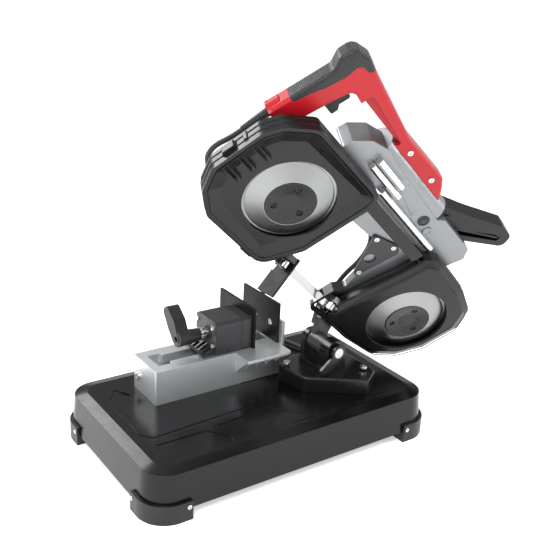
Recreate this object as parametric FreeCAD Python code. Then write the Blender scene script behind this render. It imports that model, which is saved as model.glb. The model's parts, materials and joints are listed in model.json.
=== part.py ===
"""Band saw on a pressed steel base: one STEP file for each sub-part, in millimetres.

Row frame: +Z up, +X along the base towards the hinge, +Y from the front edge of the base
to its back edge, origin on the floor under the centre of the base.
"""
import FreeCAD
import Part
import math
import os

V = FreeCAD.Vector
X_AXIS = V(1, 0, 0)
Y_AXIS = V(0, 1, 0)
Z_AXIS = V(0, 0, 1)

# ---- driving dimensions -------------------------------------------------------------
BASE_LENGTH = 448.0            # flat top of the base
BASE_WIDTH = 254.0
BASE_TOP = 74.8
SKIRT_BOTTOM = 16.0
SHEET = 2.5

VISE_LEFT = -155.0
VISE_RIGHT = 67.0
VISE_FRONT = 19.7
VISE_BACK = 92.3
VISE_TOP = 130.0

WHEEL_SPACING = 330.0          # idler axle to drive shaft
BLADE_RADIUS = 76.4            # inside of the blade on the tyres
BLADE_WIDTH = 13.0
BLADE_THICKNESS = 0.65
BLADE_Y = 6.5                  # middle of the blade on the wheels
DISC_RADIUS = 62.1
HUB_RADIUS = 37.4
RUNNING = 0.05                 # radial clearance of a running fit
APART = 0.35                   # gap between pieces that move past each other

RAISE = 42.5                   # the head stands raised, about the hinge's direction
TILT = 33.5                    # the wheels lean back about the head's own length
HEAD_ORIGIN = V(-1.0, -73.0, 396.0)
HINGE = V(116.5, -20.0, 134.0)
PIVOT = V(117.0, -20.0, BASE_TOP)
CLIP = V(150.0, 32.0, 124.0)   # where the cord is held on the turntable

CORD_RADIUS = 3.75

HEAD = FreeCAD.Placement(
    HEAD_ORIGIN,
    FreeCAD.Rotation(Y_AXIS, RAISE).multiply(FreeCAD.Rotation(X_AXIS, TILT)),
)
CUT = FreeCAD.Placement(HEAD_ORIGIN, FreeCAD.Rotation(Y_AXIS, RAISE))
CUT_IN_HEAD = HEAD.inverse().multiply(CUT)
ROW = FreeCAD.Placement()

os.makedirs("parts", exist_ok=True)


# ---- helpers ------------------------------------------------------------------------
def box(x, y, z):
    """A box from three (low, high) pairs."""
    return Part.makeBox(x[1] - x[0], y[1] - y[0], z[1] - z[0], V(x[0], y[0], z[0]))


def rod(start, axis, radius, length):
    return Part.makeCylinder(radius, length, V(*start), V(*axis))


def tube(start, axis, outer, inner, length):
    return rod(start, axis, outer, length).cut(rod(start, axis, inner, length))


def cone(start, axis, radius_1, radius_2, length):
    return Part.makeCone(radius_1, radius_2, length, V(*start), V(*axis))


def rounded_wire(points, radius):
    """Closed outline through points, each corner rounded; a point may carry its own radius."""
    corners = [V(*p[:3]) for p in points]
    radii = [p[3] if len(p) > 3 else radius for p in points]
    count = len(corners)
    edges = []
    joins = []
    for i, corner in enumerate(corners):
        before = (corners[i - 1] - corner).normalize()
        after = (corners[(i + 1) % count] - corner).normalize()
        half = before.getAngle(after) / 2
        if radii[i] <= 0:
            joins.append((corner, None, corner))
            continue
        reach = radii[i] / math.tan(half)
        middle = (before + after).normalize()
        inner = corner + middle * (radii[i] / math.sin(half) - radii[i])
        joins.append((corner + before * reach, inner, corner + after * reach))
    for i, (start, inner, end) in enumerate(joins):
        if inner is not None:
            edges.append(Part.Arc(start, inner, end).toShape())
        following = joins[(i + 1) % count][0]
        if end.distanceToPoint(following) > 1e-6:
            edges.append(Part.LineSegment(end, following).toShape())
    return Part.Wire(edges)


def slab_y(points, radius, low, high):
    """A plate whose outline is given in X and Z, from y = low to y = high."""
    wire = rounded_wire([(p[0], low, p[1], *p[2:]) for p in points], radius)
    return Part.Face(wire).extrude(V(0, high - low, 0))


def slab_z(points, radius, low, high):
    """A plate whose outline is given in X and Y, from z = low to z = high."""
    wire = rounded_wire([(p[0], p[1], low, *p[2:]) for p in points], radius)
    return Part.Face(wire).extrude(V(0, 0, high - low))


def slab_x(points, radius, low, high):
    """A plate whose outline is given in Y and Z, from x = low to x = high."""
    wire = rounded_wire([(low, p[0], p[1], *p[2:]) for p in points], radius)
    return Part.Face(wire).extrude(V(high - low, 0, 0))


def rectangle(length, width, z, radius, centre=(0, 0)):
    """Wire of a rounded rectangle at height z."""
    x = length / 2
    y = width / 2
    corners = [(-x, -y), (x, -y), (x, y), (-x, y)]
    return rounded_wire([(centre[0] + a, centre[1] + b, z) for a, b in corners], radius)


def shrink(points, amount):
    """Move each point of a convex outline inwards by about the same amount."""
    count = len(points)
    middle_x = sum(p[0] for p in points) / count
    middle_z = sum(p[1] for p in points) / count
    result = []
    for x, z in points:
        reach = math.hypot(x - middle_x, z - middle_z)
        factor = 1 - amount / reach
        result.append((middle_x + (x - middle_x) * factor, middle_z + (z - middle_z) * factor))
    return result


def fuse(first, *others):
    return first.multiFuse(list(others)).removeSplitter()


def cut(first, *others):
    for other in others:
        first = first.cut(other)
    return first


def screw(start, axis, radius, length, head_radius, head_height):
    """A cap screw with a hexagon socket; start is under the head and axis points to its tip."""
    axis = V(*axis).normalize()
    start = V(*start)
    shank = Part.makeCylinder(radius, length, start, axis)
    head = Part.makeCylinder(head_radius, head_height, start - axis * head_height, axis)
    socket_radius = head_radius * 0.5
    flats = Part.makePolygon([
        V(socket_radius * math.cos(math.radians(a)), socket_radius * math.sin(math.radians(a)), 0)
        for a in range(0, 361, 60)
    ])
    socket = Part.Face(flats).extrude(V(0, 0, head_height * 0.6))
    turn = FreeCAD.Rotation(Z_AXIS, axis)
    socket.Placement = FreeCAD.Placement(start - axis * head_height, turn)
    return shank.fuse(head).cut(socket)


def save(name, shapes, placement=ROW):
    """Write one node, a single solid or a group of separate solids."""
    if not isinstance(shapes, list):
        shapes = [shapes]
    solids = []
    for shape in shapes:
        placed = shape.copy()
        placed.Placement = placement.multiply(placed.Placement)
        solids.extend(placed.Solids)
    for solid in solids:
        if not solid.isValid():
            print("NOT VALID", name)
    result = solids[0] if len(solids) == 1 else Part.makeCompound(solids)
    result.exportStep("parts/" + name + ".step")
    box_now = result.BoundBox
    print("%-20s %2d solids  %8.1f cm3  X %6.1f..%6.1f  Y %6.1f..%6.1f  Z %6.1f..%6.1f" % (
        name, len(solids), result.Volume / 1000, box_now.XMin, box_now.XMax,
        box_now.YMin, box_now.YMax, box_now.ZMin, box_now.ZMax))
    return result


# ---- base ---------------------------------------------------------------------------
SHOULDER = 35.4                # how much longer and wider the shoulder is than the top
SHOULDER_Z = 70.7
SKIRT = 43.2                   # the same for the bottom edge
CORNER = 38.0


def base_tray():
    """Pressed steel tray: flat top, sloping shoulder, skirt with a little draft."""
    def body(inset, drop, bottom):
        top = rectangle(BASE_LENGTH, BASE_WIDTH, BASE_TOP - drop, CORNER - 14)
        shoulder = rectangle(
            BASE_LENGTH + SHOULDER - inset, BASE_WIDTH + SHOULDER - inset, SHOULDER_Z - drop, CORNER - inset / 2)
        hem = rectangle(BASE_LENGTH + SKIRT - inset, BASE_WIDTH + SKIRT - inset, bottom, CORNER + 2 - inset / 2)
        upper = Part.makeLoft([shoulder, top], True, True)
        lower = Part.makeLoft([hem, shoulder], True, True)
        return upper.fuse(lower)

    outer = body(0, 0, SKIRT_BOTTOM)
    inner = body(2 * SHEET, SHEET, SKIRT_BOTTOM)
    tray = outer.cut(inner)
    panel = [(-210, -38), (-198, -56), (-20, -46), (-8, -34), (-8, 112), (-150, 112), (-210, 60)]
    tray = tray.fuse(slab_z(panel, 5, BASE_TOP - 1, BASE_TOP + 0.8))
    pockets = [
        [(-186, 98), (-208, 66), (-170, 66)],
        [(-205, -74), (-176, -116), (-104, -116), (-102, -106), (-124, -74)],
        [(-104, -70), (-72, -115), (30, -107), (-14, -62)],
    ]
    for outline in pockets:
        tray = tray.cut(slab_z(outline, 2, BASE_TOP - 1.0, BASE_TOP + 4))
    groove = box((-10, 200), (-119.5, -117.5), (BASE_TOP - 0.8, BASE_TOP + 1))
    pivot_stud = rod((PIVOT.x, PIVOT.y, BASE_TOP - 1), (0, 0, 1), PIN_RADIUS, PLATE_THICK + 1)
    return tray.cut(groove).fuse(pivot_stud).removeSplitter()


FOOT_REACH = 62.0
FOOT_TOP = 29.0


def corner_feet():
    """Four plastic bumpers that wrap the corners of the skirt and stand on the floor."""
    outer = Part.Face(rectangle(BASE_LENGTH + SKIRT + 8, BASE_WIDTH + SKIRT + 8, 0, CORNER + 6))
    ring = outer.extrude(V(0, 0, FOOT_TOP))
    hem = Part.makeLoft([
        rectangle(BASE_LENGTH + SKIRT, BASE_WIDTH + SKIRT, SKIRT_BOTTOM, CORNER + 2),
        rectangle(BASE_LENGTH + SHOULDER, BASE_WIDTH + SHOULDER, SHOULDER_Z, CORNER),
    ], True, True)
    under = rectangle(BASE_LENGTH + SKIRT - 26, BASE_WIDTH + SKIRT - 26, 3, CORNER - 12)
    hollow = Part.Face(under).extrude(V(0, 0, FOOT_TOP))
    ring = cut(ring, hem, hollow)
    feet = []
    for side_x in (-1, 1):
        for side_y in (-1, 1):
            corner_x = side_x * (BASE_LENGTH + SKIRT + 8) / 2
            corner_y = side_y * (BASE_WIDTH + SKIRT + 8) / 2
            reach_x = sorted((corner_x, corner_x - side_x * FOOT_REACH))
            reach_y = sorted((corner_y, corner_y - side_y * FOOT_REACH))
            foot = ring.common(box(reach_x, reach_y, (-1, FOOT_TOP + 1)))
            feet.append(cut(foot, *foot_screws()))
    return feet


def foot_screws():
    """Two screws to each bumper, one on each side of the corner."""
    screws = []
    long_side = (BASE_WIDTH + SKIRT + 8) / 2
    short_side = (BASE_LENGTH + SKIRT + 8) / 2
    for side_x in (-1, 1):
        for side_y in (-1, 1):
            near_x = side_x * (short_side - FOOT_REACH + 6)
            near_y = side_y * (long_side - FOOT_REACH + 6)
            screws.append(screw((near_x, side_y * long_side, 21), (0, -side_y, 0), 1.9, 3, 3.4, 1.6))
            screws.append(screw((side_x * short_side, near_y, 21), (-side_x, 0, 0), 1.9, 3, 3.4, 1.6))
    return screws


# ---- vise ---------------------------------------------------------------------------
SLOT_Y = (44.0, 68.0)
SLOT_FLOOR = 108.0
TABLE_X = (-18.0, 62.0)
TABLE_FRONT = -16.0
FIXED_FACE = 62.0              # face of the fixed jaw's support


def vise_body():
    """Cast vise bed with a slot along its top, a side table on ribs and the fixed jaw's upright."""
    bed = box((VISE_LEFT, VISE_RIGHT), (VISE_FRONT, VISE_BACK), (BASE_TOP + 0.8, VISE_TOP))
    upright_edges = [e for e in bed.Edges if abs(e.BoundBox.ZLength - (VISE_TOP - BASE_TOP - 0.8)) < 0.01]
    bed = bed.makeFillet(3, upright_edges)
    table = slab_z([(TABLE_X[0], VISE_FRONT + 4, 0), (TABLE_X[0], TABLE_FRONT, 3),
                    (TABLE_X[1], TABLE_FRONT, 3), (TABLE_X[1], VISE_FRONT + 4, 0)], 3, VISE_TOP - 5, VISE_TOP)
    bed = bed.fuse(table)
    rib_count = 5
    rib_step = (TABLE_X[1] - TABLE_X[0] - 6) / (rib_count - 1)
    for i in range(rib_count):
        x = TABLE_X[0] + 1 + i * rib_step
        rib = slab_x([(VISE_FRONT + 1, VISE_TOP - 4), (TABLE_FRONT + 4, VISE_TOP - 4),
                      (VISE_FRONT + 1, VISE_TOP - 34)], 0, x, x + 4)
        bed = bed.fuse(rib)
    upright = box((FIXED_FACE, VISE_RIGHT), (VISE_FRONT - 8, VISE_BACK), (VISE_TOP - 5, VISE_TOP + 38))
    brace = slab_y([(FIXED_FACE, VISE_TOP), (VISE_RIGHT, VISE_TOP), (VISE_RIGHT, VISE_TOP + 38)], 0,
                   VISE_FRONT, VISE_BACK)
    bed = fuse(bed, upright, brace)
    slot = box((VISE_LEFT + 26, FIXED_FACE - 6), SLOT_Y, (SLOT_FLOOR, VISE_TOP + 1))
    mouth = box((VISE_LEFT + 14, VISE_LEFT + 36), (SLOT_Y[0] - 7, SLOT_Y[1] + 7), (SLOT_FLOOR, VISE_TOP + 1))
    undercut = box((VISE_LEFT + 14, FIXED_FACE - 6), (SLOT_Y[0] - 7, SLOT_Y[1] + 7), (SLOT_FLOOR, SLOT_FLOOR + 8))
    hollow = box((VISE_LEFT + 6, VISE_RIGHT - 6), (VISE_FRONT + 6, VISE_BACK - 6), (BASE_TOP, SLOT_FLOOR - 6))
    return cut(bed, slot, mouth, undercut, hollow, vise_bolt(), *jaw_screws()).removeSplitter()


RACK_Y = (46.0, 66.0)
RACK_PITCH = 5.0


def vise_rack():
    """Toothed strip on the floor of the slot: the carriage catches on it."""
    start = VISE_LEFT + 40
    end = FIXED_FACE - 8
    count = int((end - start) / RACK_PITCH)
    outline = [(start, SLOT_FLOOR + 0.0), (start, SLOT_FLOOR + 3)]
    for i in range(count):
        left = start + i * RACK_PITCH
        outline.append((left + RACK_PITCH * 0.7, SLOT_FLOOR + 6))
        outline.append((left + RACK_PITCH, SLOT_FLOOR + 3))
    outline.append((start + count * RACK_PITCH, SLOT_FLOOR))
    return slab_y(outline, 0, *RACK_Y)


JAW_PLATE = 4.0
PLATE_Y = (19.0, 120.0)
PLATE_TOP = VISE_TOP + 67
MOVING_FACE = 17.0             # face of the moving jaw plate at rest
JAW_SLAB = 18.0
BLOCK_RIGHT = MOVING_FACE - JAW_PLATE - JAW_SLAB - 0.4
BLOCK_LEFT = BLOCK_RIGHT - 46
BLOCK_Y = (24.0, 84.0)
BLOCK_TOP = VISE_TOP + 54
SCREW_Y = 56.0
SCREW_Z = VISE_TOP + 27
CLAMP_RADIUS = 7.0


JAW_SCREW_Y = (SCREW_Y - 16, SCREW_Y + 26)


def fixed_jaw_plate():
    plate = box((FIXED_FACE - JAW_PLATE, FIXED_FACE), PLATE_Y, (VISE_TOP + 0.3, PLATE_TOP))
    sinks = [rod((FIXED_FACE - 5, y, VISE_TOP + 29), (1, 0, 0), 5, 3.6) for y in JAW_SCREW_Y]
    return cut(plate, *jaw_screws(), *sinks)


def jaw_screws():
    """Screws of the fixed jaw plate, their heads flush with its face."""
    return [screw((FIXED_FACE - 1.4, y, VISE_TOP + 29), (1, 0, 0), 3.1, 5, 5, JAW_PLATE - 1.4) for y in JAW_SCREW_Y]


BLOCK_SCREWS = [(-23, 17), (-23, -14), (23, 17), (23, -14)]


def jaw_block():
    """Carriage: a rounded block on a ribbed foot, with a key that runs in the slot."""
    block = slab_x([(BLOCK_Y[0], VISE_TOP + 2, 1), (BLOCK_Y[0], BLOCK_TOP, 7), (BLOCK_Y[1], BLOCK_TOP, 7),
                    (BLOCK_Y[1], VISE_TOP + 2, 1)], 5, BLOCK_LEFT, BLOCK_RIGHT)
    foot = box((BLOCK_LEFT - 20, BLOCK_RIGHT), (BLOCK_Y[0] + 2, BLOCK_Y[1] - 2), (VISE_TOP + 0.35, VISE_TOP + 4))
    pieces = [foot]
    for i in range(6):
        y = BLOCK_Y[0] + 5 + i * 10
        pieces.append(slab_y([(BLOCK_LEFT - 18, VISE_TOP + 3), (BLOCK_LEFT + 1, VISE_TOP + 3),
                              (BLOCK_LEFT + 1, VISE_TOP + 13)], 0, y, y + 3))
    key = box((BLOCK_LEFT, BLOCK_RIGHT), (SLOT_Y[0] + 0.4, SLOT_Y[1] - 0.4), (VISE_TOP - 13, VISE_TOP + 3))
    flange = box((BLOCK_LEFT, BLOCK_RIGHT), (SLOT_Y[0] - 6.5, SLOT_Y[1] + 6.5), (VISE_TOP - 20 + 4.5, VISE_TOP - 14.5))
    pieces.append(key)
    pieces.append(box((BLOCK_LEFT, BLOCK_RIGHT), (RACK_Y[0] + 3, RACK_Y[1] - 3), (VISE_TOP - 15.4, VISE_TOP - 12)))
    pieces.append(flange)
    block = fuse(block, *pieces)
    bore = rod((BLOCK_LEFT - 1, SCREW_Y, SCREW_Z), (1, 0, 0), CLAMP_RADIUS + RUNNING, 60)
    rooms = [rod((BLOCK_LEFT - 3, SCREW_Y + y, SCREW_Z + z), (1, 0, 0), 4.4, 3) for y, z in BLOCK_SCREWS]
    return cut(block, bore, *rooms, *block_screws())


def block_screws():
    return [screw((BLOCK_LEFT, SCREW_Y + y, SCREW_Z + z), (1, 0, 0), 2.2, 12, 4, 2.2) for y, z in BLOCK_SCREWS]


def jaw_slab():
    """Pressure pad between the block and the moving plate."""
    pad = slab_x([(BLOCK_Y[0], VISE_TOP + 1), (BLOCK_Y[0], BLOCK_TOP - 2), (BLOCK_Y[1], BLOCK_TOP - 2),
                  (BLOCK_Y[1], VISE_TOP + 1)], 4, BLOCK_RIGHT + 0.4, BLOCK_RIGHT + 0.4 + JAW_SLAB)
    socket = rod((BLOCK_RIGHT, SCREW_Y, SCREW_Z), (1, 0, 0), CLAMP_RADIUS + RUNNING, 5.4)
    return pad.cut(socket)


def moving_jaw_plate():
    return box((MOVING_FACE - JAW_PLATE, MOVING_FACE), (PLATE_Y[0], PLATE_Y[1]), (VISE_TOP + 0.6, PLATE_TOP))


LEVER_HUB = 12.0
LEVER_REACH = 50.0             # from the block to the lever's outer face


def clamp_screw():
    """Clamp spindle; it ends in the pressure pad."""
    end = BLOCK_LEFT - LEVER_REACH + 4
    body = rod((end, SCREW_Y, SCREW_Z), (1, 0, 0), CLAMP_RADIUS, BLOCK_RIGHT + 5 - end)
    collar = rod((BLOCK_LEFT - 12, SCREW_Y, SCREW_Z), (1, 0, 0), 11, 7.6)
    return body.fuse(collar)


def clamp_lever():
    """Curved hand lever with a long round hub."""
    left = BLOCK_LEFT - LEVER_REACH
    hub = cone((left, SCREW_Y, SCREW_Z), (1, 0, 0), LEVER_HUB + 1, LEVER_HUB - 2, LEVER_REACH - 12.5)
    arm = slab_x([(SCREW_Y - 11, SCREW_Z - 5, 6), (SCREW_Y + 8, SCREW_Z - 10, 6), (SCREW_Y + 25, SCREW_Z + 8, 16),
                  (SCREW_Y + 42, SCREW_Z + 32, 6), (SCREW_Y + 32, SCREW_Z + 45, 8), (SCREW_Y + 8, SCREW_Z + 27, 16)],
                 4, left - 1, left + 19)
    lever = hub.fuse(arm)
    bore = rod((left + 4, SCREW_Y, SCREW_Z), (1, 0, 0), CLAMP_RADIUS, LEVER_REACH)
    head_room = rod((left - 1, SCREW_Y, SCREW_Z), (1, 0, 0), 4.5, 4)
    return cut(lever, bore, head_room)


def vise_bolt():
    """Bolt in the end face of the bed."""
    return screw((VISE_LEFT, 76, 100), (1, 0, 0), 4.0, 6, 6.5, 3.0)


# ---- turntable and hinge ------------------------------------------------------------
PLATE_THICK = 25.0
TURN_Z = BASE_TOP + APART
PLATE_OUTLINE = [(50, 2), (62, -52), (145, -108), (176, -86), (176, -4), (152, 22), (92, 22)]
PIN_RADIUS = 8.0
BARREL = (-38.0, -2.0)


def swivel_plate():
    """Cast mitre plate that turns on the base."""
    plate = slab_z(PLATE_OUTLINE, 7, TURN_Z, TURN_Z + PLATE_THICK)
    top_edges = [e for e in plate.Edges if e.BoundBox.ZMin > TURN_Z + PLATE_THICK - 0.01]
    plate = plate.makeFillet(3, top_edges)
    bore = rod((PIVOT.x, PIVOT.y, TURN_Z), (0, 0, 1), PIN_RADIUS + RUNNING, PLATE_THICK)
    return plate.cut(bore)


def mitre_bolts():
    """Clamp bolt at the tip and a second one at the back of the mitre plate."""
    top = TURN_Z + PLATE_THICK
    bolts = []
    for x, y in ((63, -4), (160, -76)):
        washer = rod((x, y, top), (0, 0, 1), 8, 1.8)
        head = screw((x, y, top + 1.8), (0, 0, -1), 3.9, 1.8, 5.6, 5)
        bolts.append(washer.fuse(head))
    return bolts


def hinge_post():
    """Two ears on a round foot; the head's barrel turns between them."""
    top = TURN_Z + PLATE_THICK
    foot = slab_z([(92, -58), (142, -58), (142, 10), (92, 10)], 10, top, top + 7)
    foot = foot.cut(rod((PIVOT.x, PIVOT.y, top), (0, 0, 1), PIN_RADIUS + 1, 0.2))
    ears = []
    for low, high in ((-58, BARREL[0] - APART), (BARREL[1] + APART, 9)):
        ear = slab_y([(98, top + 2, 0), (138, top + 2, 0), (134, 151, 16), (99, 151, 16)], 8, low, high)
        ears.append(ear)
    clip_arm = box((130, CLIP.x), (2, 9), (CLIP.z - 8, CLIP.z))
    clip_neck = box((CLIP.x - 6, CLIP.x), (2, CLIP.y), (CLIP.z - 8, CLIP.z))
    clip_ring = rod((CLIP.x, CLIP.y, CLIP.z - 8), (0, 0, 1), CORD_RADIUS + 2.5, 8)
    post = fuse(foot, *ears, clip_arm, clip_neck, clip_ring)
    post = post.cut(rod((CLIP.x, CLIP.y, CLIP.z - 9), (0, 0, 1), CORD_RADIUS, 10))
    bore = rod((HINGE.x, -70, HINGE.z), (0, 1, 0), PIN_RADIUS, 90)
    return post.cut(bore)


def hinge_pin():
    """Hinge bolt, with its head at the back and a round nut at the front."""
    pin = rod((HINGE.x, -66, HINGE.z), (0, 1, 0), PIN_RADIUS, 76)
    head = rod((HINGE.x, 9.1, HINGE.z), (0, 1, 0), 9.5, 2)
    hexagon = Part.Face(Part.makePolygon([
        V(HINGE.x + 8.5 * math.cos(math.radians(a)), 11.1, HINGE.z + 8.5 * math.sin(math.radians(a)))
        for a in range(0, 361, 60)])).extrude(V(0, 7, 0))
    return fuse(pin, head, hexagon)


def lock_lever():
    """Clamp lever on the near end of the hinge bolt."""
    hub = tube((HINGE.x, -66, HINGE.z), (0, 1, 0), 12.5, PIN_RADIUS + RUNNING, 5.5)
    arm = slab_y([(106, 130, 2), (118, 122, 2), (108, 107, 4), (86, 102, 4), (82, 110, 3)], 4, -66, -61)
    arm = arm.cut(rod((HINGE.x, -66, HINGE.z), (0, 1, 0), PIN_RADIUS + RUNNING, 6))
    return hub.fuse(arm).removeSplitter()


# ---- head: frame, guards and blade --------------------------------------------------
FRAME_Y = (17.0, 29.0)
UPPER_OUTLINE = [(-118, -42), (-119, 38), (-108, 66), (-74, 98), (82, 98), (84, -34), (60, -97), (-62, -96), (-98, -74)]
LOWER_OUTLINE = [(224, -97), (300, -97), (362, -88), (396, -58), (414, -14), (412, 52), (388, 86), (340, 99),
                 (262, 102), (238, 92), (236, 40), (228, -24)]
RIM_Y = -13.0
FLOOR_Y = -4.0
OPENING = 66.0
WALL = 3.0
GUARD_CORNER = 24.0


def saw_frame():
    """Cast main frame: plate behind both wheels, spine, and the arm to the lower guide."""
    outline = [(-104, -40), (-104, 36), (-68, 88), (230, 92), (330, 92), (384, 70), (404, 0), (384, -60),
               (340, -86), (262, -88), (214, -68, 3), (208, -58, 3), (218, -40, 6), (210, -18, 4), (170, 44, 14),
               (96, 38, 8), (86, 6, 8), (88, -26, 4), (105, -40, 3), (105, -62, 3), (84, -68, 4), (40, -88), (-56, -86)]
    plate = slab_y(outline, 8, *FRAME_Y)
    boss = rod((0, FRAME_Y[1] - 1, 0), (0, 1, 0), 24, 13)
    back_rib = slab_y([(-20, 18), (30, 62), (200, 70), (200, 62), (40, 54), (0, 14)], 3,
                      FRAME_Y[1] - 1, FRAME_Y[1] + 7)
    frame = fuse(plate, boss, back_rib)
    axle_hole = rod((0, 10, 0), (0, 1, 0), AXLE_RADIUS, 60)
    shaft_hole = rod((WHEEL_SPACING, 10, 0), (0, 1, 0), BEARING_RADIUS, 60)
    gear_holes = [rod((x, FRAME_Y[1] - 8, z), (0, 1, 0), GEAR_PIN + RUNNING, 20) for x, z in (LAY, IDLE)]
    bolt_holes = [rod((x, FRAME_Y[0] - 4, z), (0, 1, 0), 2.5, 8) for x, z in COVER_SCREWS]
    lower_seat = guide_bracket(GUIDE_X["lower"])
    lower_seat.Placement = CUT_IN_HEAD
    return cut(frame, axle_hole, shaft_hole, *gear_holes, *bolt_holes, lower_seat, guide_room("lower"))


def ring_wall(outline, low, high):
    """Hollow wall of a guard between two depths."""
    outer = slab_y(outline, 12, low, high)
    inner = slab_y(shrink(outline, WALL * 1.15), 10, low - 1, high + 1)
    return outer.cut(inner)


def guard(outline, centre_x, dished):
    """Wheel guard: a wall round the wheel and a floor with a round opening in front of it."""
    back = FRAME_Y[0] - 0.2
    wall = ring_wall(outline, FLOOR_Y, back)
    floor = slab_y(outline, GUARD_CORNER, FLOOR_Y, FLOOR_Y + 2.2)
    shell = wall.fuse(floor)
    if dished:
        rim = slab_y(outline, GUARD_CORNER, RIM_Y, FLOOR_Y)
        mouth = rounded_wire([(x, RIM_Y - 0.01, z) for x, z in shrink(outline, 5)], GUARD_CORNER - 4)
        bottom = rounded_wire([(x, FLOOR_Y, z) for x, z in shrink(outline, 27)], 8)
        shell = shell.fuse(rim.cut(Part.makeLoft([mouth, bottom], True, True)))
        for i in range(3):
            z = 16 - i * 24
            for step in (0, 7):
                rib = slab_y([(-112, z + step), (-78, z + step), (-78, z + step + 1.2), (-112, z + step + 1.2)], 0,
                             RIM_Y + 2, FLOOR_Y)
                shell = shell.fuse(rib)
    else:
        front = rounded_wire([(x, RIM_Y + 4, z) for x, z in shrink(outline, 12)], GUARD_CORNER - 8)
        base_wire = rounded_wire([(x, FLOOR_Y + 0.5, z) for x, z in outline], GUARD_CORNER)
        lid = Part.makeLoft([base_wire, front], True, True)
        hollow = Part.makeLoft([
            rounded_wire([(x, FLOOR_Y + 2.2, z) for x, z in shrink(outline, WALL + 1)], GUARD_CORNER - 4),
            rounded_wire([(x, RIM_Y + 6.4, z) for x, z in shrink(outline, 15)], GUARD_CORNER - 11),
        ], True, True)
        shell = wall.fuse(lid).cut(hollow)
    shell = shell.cut(rod((centre_x, RIM_Y - 2, 0), (0, 1, 0), OPENING, 16))
    return shell


def blade_gate(x):
    """Clearance that the blade passes through in a guard's wall."""
    straight = box((x - 26, x + 26), (-1.6, 15), (BLADE_RADIUS - 3, BLADE_RADIUS + 5))
    twisted = box((x - 30, x + 30), (-2, 17), (-BLADE_RADIUS - 12, -BLADE_RADIUS + 9))
    return straight.fuse(twisted)


def upper_guard():
    shell = guard(UPPER_OUTLINE, 0, True).cut(blade_gate(80))
    lip = slab_y([(-124, -20), (-124, -2), (-116, 2), (-116, -24)], 1, FLOOR_Y, 8)
    foot = slab_y([(24, -103), (46, -103), (50, -94), (20, -94)], 1, FLOOR_Y, 12)
    hooks = [slab_y([(-121 + 9 * i, 12 + 20 * i), (-113 + 9 * i, 12 + 20 * i), (-113 + 9 * i, 18 + 20 * i),
                     (-121 + 9 * i, 18 + 20 * i)], 1, -2, 13) for i in range(3)]
    return fuse(shell, lip, foot, *hooks)


def lower_guard():
    shell = guard(LOWER_OUTLINE, WHEEL_SPACING, False).cut(blade_gate(226))
    shroud = slab_y([(194, -94), (194, -52), (204, -38), (208, -41), (198, -54), (198, -90), (206, -96),
                     (240, -92), (240, -97), (204, -101)], 1, -2, 16)
    back = slab_y([(194, -94), (194, -52), (204, -38), (216, -60), (230, -60), (240, -97), (204, -101)], 1, 14, 16.8)
    gate = box((180, 210), (-1, 14), (-90, -69))
    seat = guide_bracket(GUIDE_X["lower"])
    seat.Placement = CUT_IN_HEAD
    jaw_room = box((190, 224), (6.6, 18), (-104, -86))
    return cut(fuse(shell, shroud, back), gate, jaw_room, guide_room("lower"), seat)


FREE_RUN = (98.0, 224.0)       # the stretch between the guides, where the blade stands upright
FREE_Z = -79.5


def blade_section(x, y, z, angle):
    """Rectangle across the blade; angle turns its width from along Y towards upright."""
    half_w = BLADE_WIDTH / 2
    half_t = BLADE_THICKNESS / 2
    c = math.cos(math.radians(angle))
    s = math.sin(math.radians(angle))
    corners = [(-half_w, -half_t), (half_w, -half_t), (half_w, half_t), (-half_w, half_t)]
    points = [V(x, y + a * c - b * s, z + a * s + b * c) for a, b in corners]
    return Part.makePolygon(points + [points[0]])


def blade():
    """Endless blade: flat round the wheels and twisted upright between the guides."""
    radius = BLADE_RADIUS + BLADE_THICKNESS / 2
    low = BLADE_Y - BLADE_WIDTH / 2
    pieces = []
    for centre, side in ((0, -1), (WHEEL_SPACING, 1)):
        ring = tube((centre, low, 0), (0, 1, 0), BLADE_RADIUS + BLADE_THICKNESS, BLADE_RADIUS, BLADE_WIDTH)
        half = box(sorted((centre, centre + side * 100)), (low - 1, low + 20), (-100, 100))
        pieces.append(ring.common(half))
    pieces.append(box((0, WHEEL_SPACING), (low, low + BLADE_WIDTH), (BLADE_RADIUS, BLADE_RADIUS + BLADE_THICKNESS)))
    upright = 90 - TILT
    steps = 5
    for start, end in ((0.0, FREE_RUN[0]), (WHEEL_SPACING, FREE_RUN[1])):
        sections = []
        for i in range(steps + 1):
            part = i / steps
            sections.append(blade_section(
                start + (end - start) * part, BLADE_Y, -radius + (FREE_Z + radius) * part, upright * part))
        pieces.append(Part.makeLoft(sections, True, True))
    ends = [blade_section(x, BLADE_Y, FREE_Z, upright) for x in FREE_RUN]
    pieces.append(Part.makeLoft(ends, True, True))
    return pieces[0].multiFuse(pieces[1:])


# ---- head: wheels -------------------------------------------------------------------
AXLE_RADIUS = 7.0
TYRE = 4.0


def wheel(centre_x):
    """Dished wheel: a shallow cone that stands out towards its hub."""
    cone_depth = 11.4
    disc = rod((centre_x, 0, 0), (0, 1, 0), DISC_RADIUS, 4)
    face = cone((centre_x, -cone_depth + 0.4, 0), (0, 1, 0), HUB_RADIUS, DISC_RADIUS, cone_depth - 0.4)
    rim = tube((centre_x, 0.6, 0), (0, 1, 0), BLADE_RADIUS - APART - TYRE, DISC_RADIUS - 6, 12.4)
    web = rod((centre_x, 3, 0), (0, 1, 0), DISC_RADIUS, 3)
    boss = rod((centre_x, 0, 0), (0, 1, 0), 20, 15.5)
    seat = rod((centre_x, -cone_depth - 1, 0), (0, 1, 0), HUB_RADIUS - 1.0, 9)
    bore = rod((centre_x, -20, 0), (0, 1, 0), AXLE_RADIUS + RUNNING, 60)
    return cut(fuse(disc, face, rim, web, boss), seat, bore)


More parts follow.
